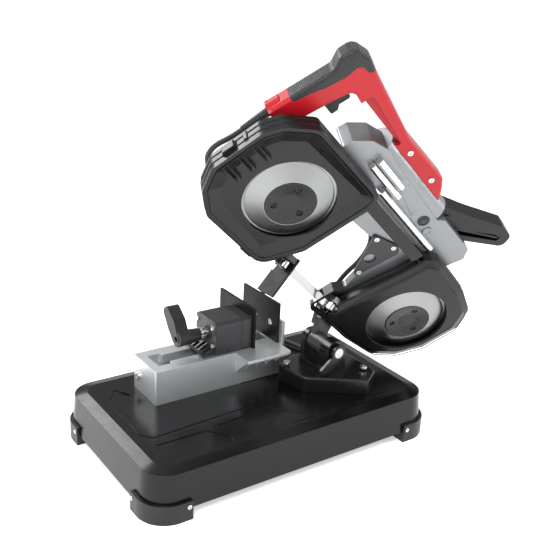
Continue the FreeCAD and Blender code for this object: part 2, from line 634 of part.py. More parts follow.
def tyre(centre_x):
    outer = BLADE_RADIUS - APART
    return tube((centre_x, 0.6, 0), (0, 1, 0), outer, outer - TYRE, 12.4)


def hub_cap(centre_x):
    """Dark cap in the middle of a wheel, with three screws sunk into it."""
    cap = rod((centre_x, -11.4, 0), (0, 1, 0), HUB_RADIUS - 1.2, 8.0)
    dish = cone((centre_x, -11.5, 0), (0, 1, 0), 34.5, 14, 4)
    holes = []
    for x, z in hub_screw_places(centre_x):
        holes.append(rod((x, -12, z), (0, 1, 0), 4.6, 6))
        holes.append(rod((x, -12, z), (0, 1, 0), 2, 12))
    return cut(cap, dish, *holes)


def hub_screw_places(centre_x):
    return [(centre_x + 23 * math.cos(math.radians(a)), 23 * math.sin(math.radians(a))) for a in (118, 238, 358)]


def hub_screws(centre_x):
    return [screw((x, -6, z), (0, 1, 0), 2, 2.5, 3.8, 2.6) for x, z in hub_screw_places(centre_x)]


def idler_axle():
    return rod((0, -2.5, 0), (0, 1, 0), AXLE_RADIUS, 46)


# ---- head: gear train ---------------------------------------------------------------
MODULE = 2.0
GEAR_TEETH = 40
IDLE_TEETH = 30
PINION_TEETH = 14
WORM_WHEEL_TEETH = 28
GEAR_Y = (31.0, 38.0)
WORM_Y = (42.0, 50.0)
GEAR_PIN = 5.0
BEARING_RADIUS = 15.0
TRAIN_ANGLE = math.radians(126.5)
IDLE_REACH = MODULE * (GEAR_TEETH + IDLE_TEETH) / 2
LAY_REACH = IDLE_REACH + MODULE * (IDLE_TEETH + PINION_TEETH) / 2
IDLE = (WHEEL_SPACING + IDLE_REACH * math.cos(TRAIN_ANGLE), IDLE_REACH * math.sin(TRAIN_ANGLE))
LAY = (WHEEL_SPACING + LAY_REACH * math.cos(TRAIN_ANGLE), LAY_REACH * math.sin(TRAIN_ANGLE))


def gear(centre, teeth, depth, tooth_towards):
    """Spur gear with straight-sided teeth; one tooth's middle points in the given direction."""
    pitch = MODULE * teeth / 2
    tip = pitch + 0.75 * MODULE
    root = pitch - 1.1 * MODULE
    tooth = 2 * math.pi / teeth
    points = []
    for i in range(teeth):
        middle = tooth_towards + i * tooth
        for radius, part in ((root, -0.27), (tip, -0.11), (tip, 0.11), (root, 0.27)):
            angle = middle + part * tooth
            points.append((centre[0] + radius * math.cos(angle), centre[1] + radius * math.sin(angle)))
    return slab_y(points, 0, *depth)


def drive_shaft():
    """Drive shaft with its gear; a gap between two teeth faces the idle gear."""
    body = gear((WHEEL_SPACING, 0), GEAR_TEETH, GEAR_Y, TRAIN_ANGLE + math.pi / GEAR_TEETH)
    return body.fuse(rod((WHEEL_SPACING, -2.5, 0), (0, 1, 0), AXLE_RADIUS, GEAR_Y[1] + 4))


def idle_gear():
    """Middle gear with its own pin."""
    body = gear(IDLE, IDLE_TEETH, GEAR_Y, TRAIN_ANGLE + math.pi)
    return body.fuse(rod((IDLE[0], FRAME_Y[1] - 7, IDLE[1]), (0, 1, 0), GEAR_PIN, 24))


def lay_shaft():
    """Lay shaft: pinion at the front, worm wheel at the back."""
    facing = TRAIN_ANGLE + math.pi
    pinion = gear(LAY, PINION_TEETH, GEAR_Y, facing + math.pi / PINION_TEETH)
    wheel_body = gear(LAY, WORM_WHEEL_TEETH, WORM_Y, math.pi / 2)
    shaft = rod((LAY[0], FRAME_Y[1] - 7, LAY[1]), (0, 1, 0), GEAR_PIN, 34)
    return fuse(pinion, wheel_body, shaft)


# ---- head: guides -------------------------------------------------------------------
def in_cut(point):
    """Turn a place in the wheels' plane into the frame of the upright blade."""
    angle = math.radians(TILT)
    y = point[1] * math.cos(angle) - point[2] * math.sin(angle)
    z = point[1] * math.sin(angle) + point[2] * math.cos(angle)
    return point[0], y, z


RUN_Y, RUN_Z = in_cut((0, BLADE_Y, FREE_Z))[1:]
ROLLER_RADIUS = 6.5
ROLLER_PIN = 2.5
ROLLER_LENGTH = 10.0
ROLLER_OFFSET = BLADE_THICKNESS / 2 + APART + ROLLER_RADIUS
GUIDE_X = {"upper": 96.0, "lower": 222.0}


def guide_bracket(x):
    """Block above the blade that carries two roller pins and the backing pad."""
    top = RUN_Z + BLADE_WIDTH / 2 + 1.0
    block = box((x - 9, x + 9), (RUN_Y - 16, RUN_Y + 16), (top, top + 9))
    arm = box((x - 9, x + 9), (RUN_Y + 4, RUN_Y + 16), (top, top + 26))
    body = block.fuse(arm)
    for side in (-1, 1):
        y = RUN_Y + side * ROLLER_OFFSET
        body = body.fuse(rod((x, y, RUN_Z - ROLLER_LENGTH / 2 - 1.5), (0, 0, 1), ROLLER_PIN, 20))
    for side in (-1, 1):
        y = RUN_Y + side * ROLLER_OFFSET
        body = body.cut(tube((x, y, RUN_Z - ROLLER_LENGTH / 2 - 0.3), (0, 0, 1), ROLLER_RADIUS + 0.6,
                             ROLLER_PIN, top - RUN_Z + ROLLER_LENGTH / 2 + 0.3 - 0.2))
    return body.removeSplitter()


def guide_roller(x, side):
    y = RUN_Y + side * ROLLER_OFFSET
    return tube((x, y, RUN_Z - ROLLER_LENGTH / 2), (0, 0, 1), ROLLER_RADIUS, ROLLER_PIN + RUNNING, ROLLER_LENGTH)


def guide_room(name):
    """Room that a guide and its rollers take, in the frame of the wheels."""
    x = GUIDE_X[name]
    room = box((x - 10, x + 10), (RUN_Y - 17, RUN_Y + 17), (RUN_Z - ROLLER_LENGTH / 2 - 3, RUN_Z + 9))
    room.Placement = CUT_IN_HEAD
    return room


def shoe_plate():
    """Work stop that hangs below the upper guide; the blade runs through its slot."""
    x = GUIDE_X["upper"] + 11
    plate = slab_x([(RUN_Y - 16, RUN_Z + 18, 2), (RUN_Y + 16, RUN_Z + 18, 2), (RUN_Y + 22, RUN_Z - 50, 3),
                    (RUN_Y - 16, RUN_Z - 50, 3)], 2, x, x + 3.5)
    lip = box((x, x + 16), (RUN_Y + 19, RUN_Y + 22), (RUN_Z - 50, RUN_Z - 14))
    slot = box((x - 1, x + 5), (RUN_Y - 2.2, RUN_Y + 2.2), (RUN_Z - 9, RUN_Z + 30))
    return cut(fuse(plate, lip), slot)


COVER_SCREWS = [(163, 48), (196, 58), (203, -8)]


def cover_plate():
    """Dark three-cornered plate over the throat of the frame."""
    plate = slab_y([(154, 50), (200, 66), (212, 58), (207, -16), (198, -14)], 4, FRAME_Y[0] - 3.5, FRAME_Y[0])
    window = rod((190, FRAME_Y[0] - 4, 20), (0, 1, 0), 9, 5)
    holes = [rod((x, FRAME_Y[0] - 4, z), (0, 1, 0), 2.5, 5) for x, z in COVER_SCREWS]
    return cut(plate, window, *holes)


def hinge_arm(neighbours):
    """Grey arm from the frame down to the barrel on the hinge bolt."""
    barrel = rod((HINGE.x, BARREL[0], HINGE.z), (0, 1, 0), 15.5, BARREL[1] - BARREL[0])
    low = slab_y([(106, 142, 2), (126, 130, 2), (144, 158, 4), (142, 178, 4), (118, 174, 4)], 4, -13, BARREL[1] - 0.4)
    high = slab_y([(116, 157, 2), (146, 157, 2), (162, 190, 4), (146, 208, 4), (126, 192, 4)], 4, -6, 9)
    arm = cut(fuse(low, high), *neighbours)
    arm = max(arm.Solids, key=lambda solid: solid.Volume)
    return fuse(barrel, arm).cut(rod((HINGE.x, -70, HINGE.z), (0, 1, 0), PIN_RADIUS + RUNNING, 90))


# ---- head: spine, motor and handle --------------------------------------------------
CHANNEL_Z = (70.0, 89.0)
TUBE_RADIUS = 5.5


def blade_channel():
    """Black rail over the returning blade, between the two guards."""
    rail = box((85.0, 224), (-4, FRAME_Y[0]), CHANNEL_Z)
    return rail.cut(box((80, 240), (-2, 15), (73, 86)))


def tension_tube():
    """Long bright tube beside the spine, with the two short tension rods above it."""
    depth = CASE_Y[0] - TUBE_RADIUS
    long_tube = rod((86, depth, 100), (1, 0, 0), TUBE_RADIUS, 148)
    rods = [rod((38, depth, z), (1, 0, 0), TUBE_RADIUS, length) for z, length in ((113, 74), (125, 62))]
    return [long_tube, *rods]


CASE_Y = (17.2, 60.0)
MOTOR_AXIS_Y = 46.0
MOTOR_AXIS_Z = LAY[1] + MODULE * WORM_WHEEL_TEETH / 2 + 0.75 * MODULE + APART + 8.0
MOTOR_RADIUS = 27.0
MOTOR_X = (36.0, 196.0)
CASE_WALL = 3.5


CASE_OUTLINE = [(-12, 96), (-10, 114), (8, 134), (36, 143), (60, 140, 4), (196, 134), (206, 143), (284, 143),
                (298, 128), (292, 96)]


def gear_case():
    """Silver housing on the spine: the motor lies on it and the gears run in its lower part."""
    case = slab_y(CASE_OUTLINE, 4, *CASE_Y)
    rooms = []
    for centre, teeth in ((WHEEL_SPACING, 0), GEAR_TEETH), (IDLE, IDLE_TEETH), (LAY, WORM_WHEEL_TEETH):
        reach = MODULE * teeth / 2 + MODULE
        case = case.fuse(rod((centre[0], FRAME_Y[1], centre[1]), (0, 1, 0), reach + 5, CASE_Y[1] - FRAME_Y[1]))
        rooms.append(rod((centre[0], FRAME_Y[1] - 0.1, centre[1]), (0, 1, 0), reach + 1, WORM_Y[1] + 4 - FRAME_Y[1]))
    bed = rod((MOTOR_X[0] - 0.5, MOTOR_AXIS_Y, MOTOR_AXIS_Z), (1, 0, 0), MOTOR_RADIUS, MOTOR_X[1] - MOTOR_X[0] + 1)
    rear = slab_y([(-6, 100), (-5, 112), (10, 129), (30, 134), (30, 100)], 3, CASE_Y[0] + 4, CASE_Y[1] - 4)
    worm_room = box((236, 288), (MOTOR_AXIS_Y - 10, MOTOR_AXIS_Y + 10), (100, MOTOR_AXIS_Z + 9.5))
    nose = rod((MOTOR_X[1] - 1, MOTOR_AXIS_Y, MOTOR_AXIS_Z), (1, 0, 0), 6.5, 88)
    lay_bore = rod((LAY[0], 20, LAY[1]), (0, 1, 0), GEAR_PIN + RUNNING, 38)
    case = cut(case, bed, rear, *rooms, worm_room, nose, lay_bore)
    plug_ring = tube((206, CASE_Y[0] - 2, 112), (0, 1, 0), 8, 4.5, 2.5)
    plug_cap = rod((206, CASE_Y[0] - 1, 112), (0, 1, 0), 4.5, 1.5)
    return fuse(case, plug_ring, plug_cap)


def motor_housing():
    """Dark round motor housing with cooling slots, and a seat for a bearing at each end."""
    start = MOTOR_X[0]
    length = MOTOR_X[1] - MOTOR_X[0]
    body = rod((start, MOTOR_AXIS_Y, MOTOR_AXIS_Z), (1, 0, 0), MOTOR_RADIUS - 0.4, length)
    room = rod((start + 14, MOTOR_AXIS_Y, MOTOR_AXIS_Z), (1, 0, 0), MOTOR_RADIUS - 4, length - 28)
    seats = rod((start + 4, MOTOR_AXIS_Y, MOTOR_AXIS_Z), (1, 0, 0), 13, length - 8)
    nose = rod((start + 20, MOTOR_AXIS_Y, MOTOR_AXIS_Z), (1, 0, 0), 6.5, length)
    body = cut(body, room, seats, nose)
    for i in range(7):
        x = start + 18 + i * 6
        body = body.cut(box((x, x + 2.6), (MOTOR_AXIS_Y - 14, MOTOR_AXIS_Y + 34),
                            (MOTOR_AXIS_Z - 8, MOTOR_AXIS_Z + 8)).cut(
                                rod((x - 1, MOTOR_AXIS_Y, MOTOR_AXIS_Z), (1, 0, 0), MOTOR_RADIUS - 5, 6)))
    return body


def armature():
    """Armature, commutator, fan and shaft, with the worm on its end."""
    start = MOTOR_X[0]
    pieces = [rod((start + 5, MOTOR_AXIS_Y, MOTOR_AXIS_Z), (1, 0, 0), 5, LAY[0] + 14 - start - 5)]
    pieces.append(rod((start + 46, MOTOR_AXIS_Y, MOTOR_AXIS_Z), (1, 0, 0), 20, 60))
    pieces.append(rod((start + 24, MOTOR_AXIS_Y, MOTOR_AXIS_Z), (1, 0, 0), 12, 16))
    pieces.append(rod((start + 118, MOTOR_AXIS_Y, MOTOR_AXIS_Z), (1, 0, 0), 21, 6))
    pieces.append(rod((LAY[0] - 12, MOTOR_AXIS_Y, MOTOR_AXIS_Z), (1, 0, 0), 8, 24))
    return fuse(*pieces)


def bearings():
    """Motor bearings and the drive shaft's bearing."""
    start = MOTOR_X[0]
    result = []
    for x in (start + 4, MOTOR_X[1] - 13):
        result.append(tube((x, MOTOR_AXIS_Y, MOTOR_AXIS_Z), (1, 0, 0), 13, 5 + RUNNING, 9))
    result.append(tube((WHEEL_SPACING, FRAME_Y[0] + 0.2, 0), (0, 1, 0), BEARING_RADIUS, AXLE_RADIUS + RUNNING, 11.4))
    return result


HANDLE_Y = (FRAME_Y[1] + 0.2, 57.0)
HANDLE_OUTLINE = [(-114, 50, 8), (-109, 118, 30), (-107, 148, 12), (-117, 164, 10), (-116, 186, 14),
                  (-90, 194, 14), (-62, 188, 12), (50, 172, 60), (113, 174, 20), (145, 175, 8), (160, 166, 6),
                  (190, 142, 7), (60, 142, 8), (44, 146, 8), (8, 140, 10), (-47, 146, 10), (-64, 154, 8), (-70, 118, 20),
                  (-78, 50, 8)]
GRIP_ZONE = [(-160, 82), (-104, 84), (-100, 108), (-94, 127), (-90, 155), (-92, 174), (-88, 180), (-77, 181), (-72, 189),
             (-66, 220), (-160, 230)]
GRIP_POCKET = (40.0, 50.0)
HANDLE_END = 198.0
STRUT_RECESS = [(-44, 149), (8, 143), (40, 149), (54, 158), (10, 163), (-44, 168)]
COLLAR = V(-97, 44, 50)


def handle_body():
    """The whole D-shaped handle as one solid, before it is split into its two materials."""
    body = slab_y(HANDLE_OUTLINE, 6, *HANDLE_Y)
    rims = []
    for edge in body.Edges:
        bounds = edge.BoundBox
        if bounds.YLength < 0.01 and bounds.ZMin > 60 and bounds.XMax < HANDLE_END:
            rims.append(edge)
    body = body.makeFillet(5, rims)
    recess = slab_y(STRUT_RECESS, 3, HANDLE_Y[0] - 1, HANDLE_Y[0] + 8)
    collar = cone((COLLAR.x, COLLAR.y, COLLAR.z), (0, 0, 1), 20, 17.5, 20)
    motor_bed = rod((-60, MOTOR_AXIS_Y, MOTOR_AXIS_Z), (1, 0, 0), MOTOR_RADIUS, 300)
    case_top = slab_y(CASE_OUTLINE, 4, 0, 80)
    trigger_room = box((-90, -40), (TRIGGER_Y[0] - 0.4, TRIGGER_Y[1] + 0.4), (TRIGGER_Z[0] - 1, TRIGGER_Z[1] + 1))
    switch_room = box((-104, -89), (GRIP_POCKET[0] - 1, GRIP_POCKET[1] + 1), (118, 146))
    sleeve_room = rod((SLEEVE_X, SLEEVE_Y, 40), (0, 0, 1), 6.6, 24)
    frame_side = box((-130, -60), (0, HANDLE_Y[0]), (40, 80))
    return cut(body.fuse(collar), frame_side, recess, motor_bed, case_top, trigger_room, switch_room, sleeve_room)


def handle_grip():
    return handle_body().common(slab_y(GRIP_ZONE, 3, 0, 90))


def handle_shell():
    return handle_body().cut(slab_y(GRIP_ZONE, 3, 0, 90))


TRIGGER_Y = (37.0, 53.0)
TRIGGER_Z = (110.0, 144.0)
TRIGGER_STROKE = 6.0


def trigger():
    """Long trigger bar under the grip; it slides into the grip."""
    bar = slab_y([(-82, TRIGGER_Z[0]), (-82, TRIGGER_Z[1]), (-56, TRIGGER_Z[1], 4), (-57, TRIGGER_Z[0] + 16),
                  (-51, TRIGGER_Z[0] + 10), (-51, TRIGGER_Z[0])], 2, *TRIGGER_Y)
    return bar


def switch_block():
    """Switch inside the grip, behind the trigger."""
    return box((-103, -90), (GRIP_POCKET[0], GRIP_POCKET[1]), (120, 144))


HANDLE_SCREWS = [(70, 161), (133, 161)]


def head_screws():
    """Screws of the cover plate and of the handle."""
    screws = [screw((x, FRAME_Y[0] - 3.5, z), (0, 1, 0), 2.5, 7, 4.2, 1.6) for x, z in COVER_SCREWS]
    for x, z in HANDLE_SCREWS:
        screws.append(rod((x, HANDLE_Y[0] - 1.8, z), (0, 1, 0), 4.4, 1.75))
    return screws


def aux_handle():
    """Second handle at the far end, hollow at the back with a rib down its middle."""
    y = (34.0, 62.0)
    outline = [(194, 118, 6), (196, 152, 8), (240, 172, 20), (300, 204, 14), (326, 204, 12), (336, 184, 12),
               (280, 142, 20), (252, 118, 6)]
    body = slab_y(outline, 8, *y)
    hollow = slab_y([(236, 140), (262, 154), (304, 186), (316, 190), (318, 182), (272, 148), (246, 132)], 3,
                    y[0] - 1, y[1] - 5)
    rib = slab_y([(240, 140), (312, 188), (314, 185), (242, 137)], 0.5, y[0], y[1] - 3)
    boss = rod((222, y[0] - 2, 138), (0, 1, 0), 12, 6)
    bore = rod((222, y[0] - 3, 138), (0, 1, 0), 5, 16)
    case_zone = slab_y(CASE_OUTLINE, 4, 0, 90)
    body = cut(body, hollow).fuse(rib).fuse(boss)
    motor_zone = rod((100, MOTOR_AXIS_Y, MOTOR_AXIS_Z), (1, 0, 0), MOTOR_RADIUS + 0.2, MOTOR_X[1] - 99)
    handle_zone = box((100, 195), (0, 90), (100, 200))
    return cut(body, bore, case_zone, motor_zone, handle_zone)


# ---- cord ---------------------------------------------------------------------------
SLEEVE_X = -104.0
SLEEVE_Y = 45.0
SLEEVE_Z = (52.0, 4.0)
COIL_CENTRE = V(72.0, 214.0, 0.0)
COIL_RADIUS = 41.0
COIL_WIDTH = 16.0
COIL_HEIGHT = 23.4


def strain_relief():
    """Tapered rubber sleeve where the cord leaves the grip."""
    length = SLEEVE_Z[0] - SLEEVE_Z[1]
    body = cone((SLEEVE_X, SLEEVE_Y, SLEEVE_Z[1]), (0, 0, 1), 4.8, 6.4, length)
    flange = rod((SLEEVE_X, SLEEVE_Y, SLEEVE_Z[0] - 1), (0, 0, 1), 6.5, 8)
    return body.fuse(flange)


def head_point(x, y, z):
    return HEAD.multVec(V(x, y, z))


UPPER_ROUTE = [
    head_point(SLEEVE_X, SLEEVE_Y, SLEEVE_Z[1]),
    head_point(SLEEVE_X, 45, -14),
    head_point(-107, 48, -40),
    head_point(-95, 52, -64),
    head_point(-64, 55, -74),
    head_point(-26, 55, -58),
    head_point(14, 54, -34),
    head_point(60, 53, -2),
    head_point(104, 51, 30),
    head_point(150, 50, 46),
    head_point(192, 49, 34),
    head_point(216, 48, -2),
    head_point(226, 48, -44),
    V(158, 30, 176),
    V(150, 32, 146),
    CLIP,
]
LOWER_ROUTE = [
    CLIP,
    V(150, 32, 105.5),
    V(150, 41.3, 89.5),
    V(149.5, 57.3, 80.6),
    V(148, 76, 80.6),
    V(138, 104, 80.6),
    V(128, 136, 80.6),
    V(125, 160, 66),
    V(124, 172, 38),
    V(124, 181, 18),
    V(124.2, 193, 8.6),
    V(124.8, 208, 5.0),
]


def cord(route, label):
    """Tube along straight runs and the widest tangent arcs that the runs allow."""
    edges = []
    place = route[0]
    radii = []
    for i in range(1, len(route) - 1):
        before = route[i - 1] - route[i]
        after = route[i + 1] - route[i]
        shorter = min(before.Length, after.Length)
        before.normalize()
        after.normalize()
        reach = 0.45 * shorter
        start = route[i] + before * reach
        end = route[i] + after * reach
        half = before.getAngle(after) / 2
        radius = reach * math.tan(half)
        radii.append(radius)
        middle = route[i] + (before + after).normalize() * (radius / math.sin(half) - radius)
        edges.append(Part.LineSegment(place, start).toShape())
        edges.append(Part.Arc(start, middle, end).toShape())
        place = end
    edges.append(Part.LineSegment(place, route[-1]).toShape())
    path = Part.Wire(edges)
    direction = (route[1] - route[0]).normalize()
    circle = Part.Wire([Part.makeCircle(CORD_RADIUS, route[0], direction)])
    shape = path.makePipeShell([circle], True, False)
    expected = math.pi * CORD_RADIUS ** 2 * path.Length
    print("%s: length %.0f, volume %.4f of section times length, radii %s" % (
        label, path.Length, shape.Volume / expected, [round(r) for r in radii]))
    return shape


PLUG_ENTRY = V(2.0, 218.0, 15.9)


def cord_coil():
    """Outer shape of the spare cord, wound up on the floor, and its end that runs to the plug."""
    coil = tube((COIL_CENTRE.x, COIL_CENTRE.y, 0.2), (0, 0, 1), COIL_RADIUS + COIL_WIDTH / 2,
                COIL_RADIUS - COIL_WIDTH / 2, COIL_HEIGHT)
    start = COIL_CENTRE + V(-39.8, 21.1, 19.2)
    middle = V(16.5, 220.5, 17.4)
    path = Part.Wire([Part.Arc(start, middle, PLUG_ENTRY).toShape()])
    circle = Part.Wire([Part.makeCircle(CORD_RADIUS, start, V(-0.47, -0.88, 0))])
    tail = path.makePipeShell([circle], True, False)
    return [coil.fuse(tail.cut(plug()))]


def plug():
    """Two-pin plug beside the coil."""
    x = PLUG_ENTRY.x
    y = PLUG_ENTRY.y
    z = PLUG_ENTRY.z
    neck = cone((x - 28, y, z), (1, 0, 0), 11, 5, 28)
    body = rod((x - 42, y, z), (1, 0, 0), 15.5, 14)
    pins = [rod((x - 61, y + side * 9.5, z), (1, 0, 0), 2.4, 19) for side in (-1, 1)]
    return fuse(body, neck, *pins)


def save_all():
    save("base_tray", base_tray())
    save("corner_feet", corner_feet())
    save("foot_screws", foot_screws())
    save("vise_body", vise_body())
    save("vise_rack", vise_rack())
    save("fixed_jaw_plate", fixed_jaw_plate())
    save("vise_screws", jaw_screws() + [vise_bolt()])
    save("jaw_block", jaw_block())
    save("block_screws", block_screws())
    save("jaw_slab", jaw_slab())
    save("moving_jaw_plate", moving_jaw_plate())
    save("clamp_screw", clamp_screw())
    save("clamp_lever", clamp_lever())
    save("swivel_plate", swivel_plate())
    save("mitre_bolts", mitre_bolts())
    save("hinge_post", hinge_post())
    save("hinge_pin", hinge_pin())
    save("lock_lever", lock_lever())
    frame = save("saw_frame", saw_frame(), HEAD)
    save("upper_guard", upper_guard(), HEAD)
    low_guard = save("lower_guard", lower_guard(), HEAD)
    save("blade", blade(), HEAD)
    for name, centre in (("idler", 0.0), ("drive", WHEEL_SPACING)):
        save(name + "_wheel", wheel(centre), HEAD)
        save(name + "_tyre", tyre(centre), HEAD)
        save(name + "_hub_cap", hub_cap(centre), HEAD)
        save(name + "_hub_screws", hub_screws(centre), HEAD)
    save("idler_axle", idler_axle(), HEAD)
    save("drive_shaft", drive_shaft(), HEAD)
    guides = {}
    for name, x in GUIDE_X.items():
        bracket = guide_bracket(x)
        bracket.Placement = CUT
        guides[name] = save(name + "_guide", bracket.cut(frame))
        save(name + "_roller_front", guide_roller(x, -1), CUT)
        save(name + "_roller_back", guide_roller(x, 1), CUT)
    lower_room = guide_room("lower")
    lower_room.Placement = HEAD.multiply(lower_room.Placement)
    save("hinge_arm", hinge_arm([frame, low_guard, guides["lower"], lower_room]))
    save("shoe_plate", shoe_plate(), CUT)
    save("cover_plate", cover_plate(), HEAD)
    save("blade_channel", blade_channel(), HEAD)
    save("tension_tubes", tension_tube(), HEAD)
    save("gear_case", gear_case(), HEAD)
    save("motor_housing", motor_housing(), HEAD)
    save("armature", armature(), HEAD)
    save("bearings", bearings(), HEAD)
    save("idle_gear", idle_gear(), HEAD)
    save("lay_shaft", lay_shaft(), HEAD)
    save("handle_shell", handle_shell(), HEAD)
    save("handle_grip", handle_grip(), HEAD)
    save("trigger", trigger(), HEAD)
    save("switch_block", switch_block(), HEAD)
    save("head_screws", head_screws(), HEAD)
    save("aux_handle", aux_handle(), HEAD)
    save("strain_relief", strain_relief(), HEAD)
    save("cord_upper", cord(UPPER_ROUTE, "cord_upper"))
    save("cord_lower", cord(LOWER_ROUTE, "cord_lower"))
    save("cord_coil", cord_coil())
    save("plug", plug())


save_all()
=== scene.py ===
"""Looks of the portable band saw on its base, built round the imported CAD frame. Metres, row frame."""

import json
import math

import bmesh
import bpy
from mathutils import Matrix, Vector


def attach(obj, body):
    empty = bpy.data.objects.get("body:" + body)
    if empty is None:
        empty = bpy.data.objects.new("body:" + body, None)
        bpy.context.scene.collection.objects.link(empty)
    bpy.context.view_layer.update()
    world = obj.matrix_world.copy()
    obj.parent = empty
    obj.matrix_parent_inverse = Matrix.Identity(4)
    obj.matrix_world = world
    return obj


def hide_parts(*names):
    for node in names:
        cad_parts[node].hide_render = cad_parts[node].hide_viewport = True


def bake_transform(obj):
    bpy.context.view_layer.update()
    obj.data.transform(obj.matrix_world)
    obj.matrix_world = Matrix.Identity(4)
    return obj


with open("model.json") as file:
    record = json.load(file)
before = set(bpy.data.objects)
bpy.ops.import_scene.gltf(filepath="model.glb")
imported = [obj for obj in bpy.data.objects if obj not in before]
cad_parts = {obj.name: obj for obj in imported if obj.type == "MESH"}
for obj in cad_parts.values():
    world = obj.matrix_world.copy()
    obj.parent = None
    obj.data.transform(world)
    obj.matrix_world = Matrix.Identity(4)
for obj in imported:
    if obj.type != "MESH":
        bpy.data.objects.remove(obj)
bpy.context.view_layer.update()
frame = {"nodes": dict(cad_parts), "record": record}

MM = 0.001

# ---- values that repeat the CAD source, in millimetres and degrees, or metres after MM -
RAISE = 42.5                      # the head stands raised, about the hinge's direction
TILT = 33.5                       # the wheels lean back about the head's own length
HEAD_ORIGIN = Vector((-1.0, -73.0, 396.0)) * MM
HEAD = (Matrix.Translation(HEAD_ORIGIN) @ Matrix.Rotation(math.radians(RAISE), 4, "Y")
        @ Matrix.Rotation(math.radians(TILT), 4, "X"))
WHEEL_SPACING = 330.0             # idler axle to drive shaft
BLADE_RADIUS = 76.4               # inside of the blade on the tyres
BLADE_WIDTH = 13.0
BLADE_THICKNESS = 0.65
BLADE_Y = 6.5                     # middle of the blade on the wheels
FREE_RUN = (98.0, 224.0)          # the stretch between the guides, where the blade stands upright
FREE_Z = -79.5
CASE_FACE = 17.2                  # the gear case's outer face
SLEEVE_END = (-104, 45, 4)        # where the cord leaves the handle's sleeve
CORD_RADIUS = 3.75 * MM
CLIP = Vector((150, 32, 124)) * MM
COIL_CENTRE = Vector((72, 214, 0)) * MM
UPPER_OUTLINE = [(-118, -42), (-119, 38), (-108, 66), (-74, 98), (82, 98), (84, -34), (60, -97), (-62, -96),
                 (-98, -74)]
LOWER_OUTLINE = [(224, -97), (300, -97), (362, -88), (396, -58), (414, -14), (412, 52), (388, 86), (340, 99),
                 (262, 102), (238, 92), (236, 40), (228, -24)]
GUARD_CORNER = 24.0


def row(x, y, z):
    """Point given in millimetres in the row frame."""
    return Vector((x, y, z)) * MM


def head_point(x, y, z):
    """Point given in millimetres in the head's frame: along the spine, away from the wheels' faces, up."""
    return HEAD @ (Vector((x, y, z)) * MM)


def head_direction(x, y, z):
    """Unit vector in the row frame of a direction given in the head's frame."""
    return (HEAD.to_3x3() @ Vector((x, y, z))).normalized()


HEAD_ALONG = head_direction(1, 0, 0)
HEAD_SIDE = head_direction(0, 1, 0)
HEAD_UP = head_direction(0, 0, 1)


# ---- materials ------------------------------------------------------------------------
def shader_tools(name):
    """A new material with its node tree, its shader and a function that adds a node."""
    material = bpy.data.materials.new(name)
    material.use_nodes = True
    tree = material.node_tree
    shader = tree.nodes["Principled BSDF"]

    def add(kind, inputs=None, **settings):
        node = tree.nodes.new(kind)
        for key, value in settings.items():
            setattr(node, key, value)
        for key, value in (inputs or {}).items():
            if isinstance(value, bpy.types.NodeSocket):
                tree.links.new(value, node.inputs[key])
            else:
                node.inputs[key].default_value = value
        return node

    return material, tree, shader, add


def place_coordinates(add, place=None):
    """Coordinates of the surface in the frame given by place, or in the row frame."""
    coordinates = add("ShaderNodeTexCoord").outputs["Object"]
    location, rotation, _ = (place or Matrix.Identity(4)).decompose()
    mapping = add("ShaderNodeMapping", {"Vector": coordinates, "Location": location,
                                        "Rotation": rotation.to_euler()}, vector_type="TEXTURE")
    return mapping.outputs["Vector"]


def grain(add, vector, scale, detail=3.0, roughness=0.5):
    """Value of an even noise."""
    return add("ShaderNodeTexNoise", {"Vector": vector, "Scale": scale, "Detail": detail,
                                      "Roughness": roughness}).outputs["Fac"]


def math_node(add, operation, first, second=0.5):
    """One step of arithmetic on sockets or numbers."""
    return add("ShaderNodeMath", {0: first, 1: second}, operation=operation).outputs[0]


def finish_material(tree, shader, add, *, colour, roughness, vector, tint=0.06, tint_scale=30, smudge=0.15,
                    smudge_scale=55, bumps=(), edge=0.0006, shine=0.5):
    """Colour and roughness that vary a little over the surface, and bumps as (height, strength, distance)."""
    cloud = grain(add, vector, tint_scale, 6.0, 0.6)
    dark = tuple(c * (1 - tint) for c in colour) + (1,)
    light = tuple(min(1, c * (1 + tint) + tint * 0.01) for c in colour) + (1,)
    mix = add("ShaderNodeMix", {"Factor": cloud, "A": dark, "B": light}, data_type="RGBA")
    tree.links.new(mix.outputs["Result"], shader.inputs["Base Color"])
    rub = grain(add, vector, smudge_scale, 8.0, 0.65)
    span = add("ShaderNodeMapRange", {"Value": rub, "From Min": 0.3, "From Max": 0.7,
                                      "To Min": roughness * (1 - smudge), "To Max": roughness * (1 + smudge)})
    tree.links.new(span.outputs["Result"], shader.inputs["Roughness"])
    normal = add("ShaderNodeBevel", {"Radius": edge}, samples=4).outputs["Normal"]
    for height, strength, distance in bumps:
        bump = add("ShaderNodeBump", {"Height": height, "Strength": strength, "Distance": distance,
                                      "Normal": normal})
        normal = bump.outputs["Normal"]
    tree.links.new(normal, shader.inputs["Normal"])
    shader.inputs["Specular IOR Level"].default_value = shine


def painted(name, colour, roughness, *, coat=0.0, peel=900, peel_depth=0.00006, shine=0.4):
    """Paint on metal with a faint orange peel; coat is the weight of a clear gloss over it."""
    material, tree, shader, add = shader_tools(name)
    vector = place_coordinates(add)
    finish_material(tree, shader, add, colour=colour, roughness=roughness, vector=vector, tint=0.05,
                    bumps=[(grain(add, vector, peel), 0.35, peel_depth)], shine=shine)
    shader.inputs["Coat Weight"].default_value = coat
    shader.inputs["Coat Roughness"].default_value = 0.08
    return material


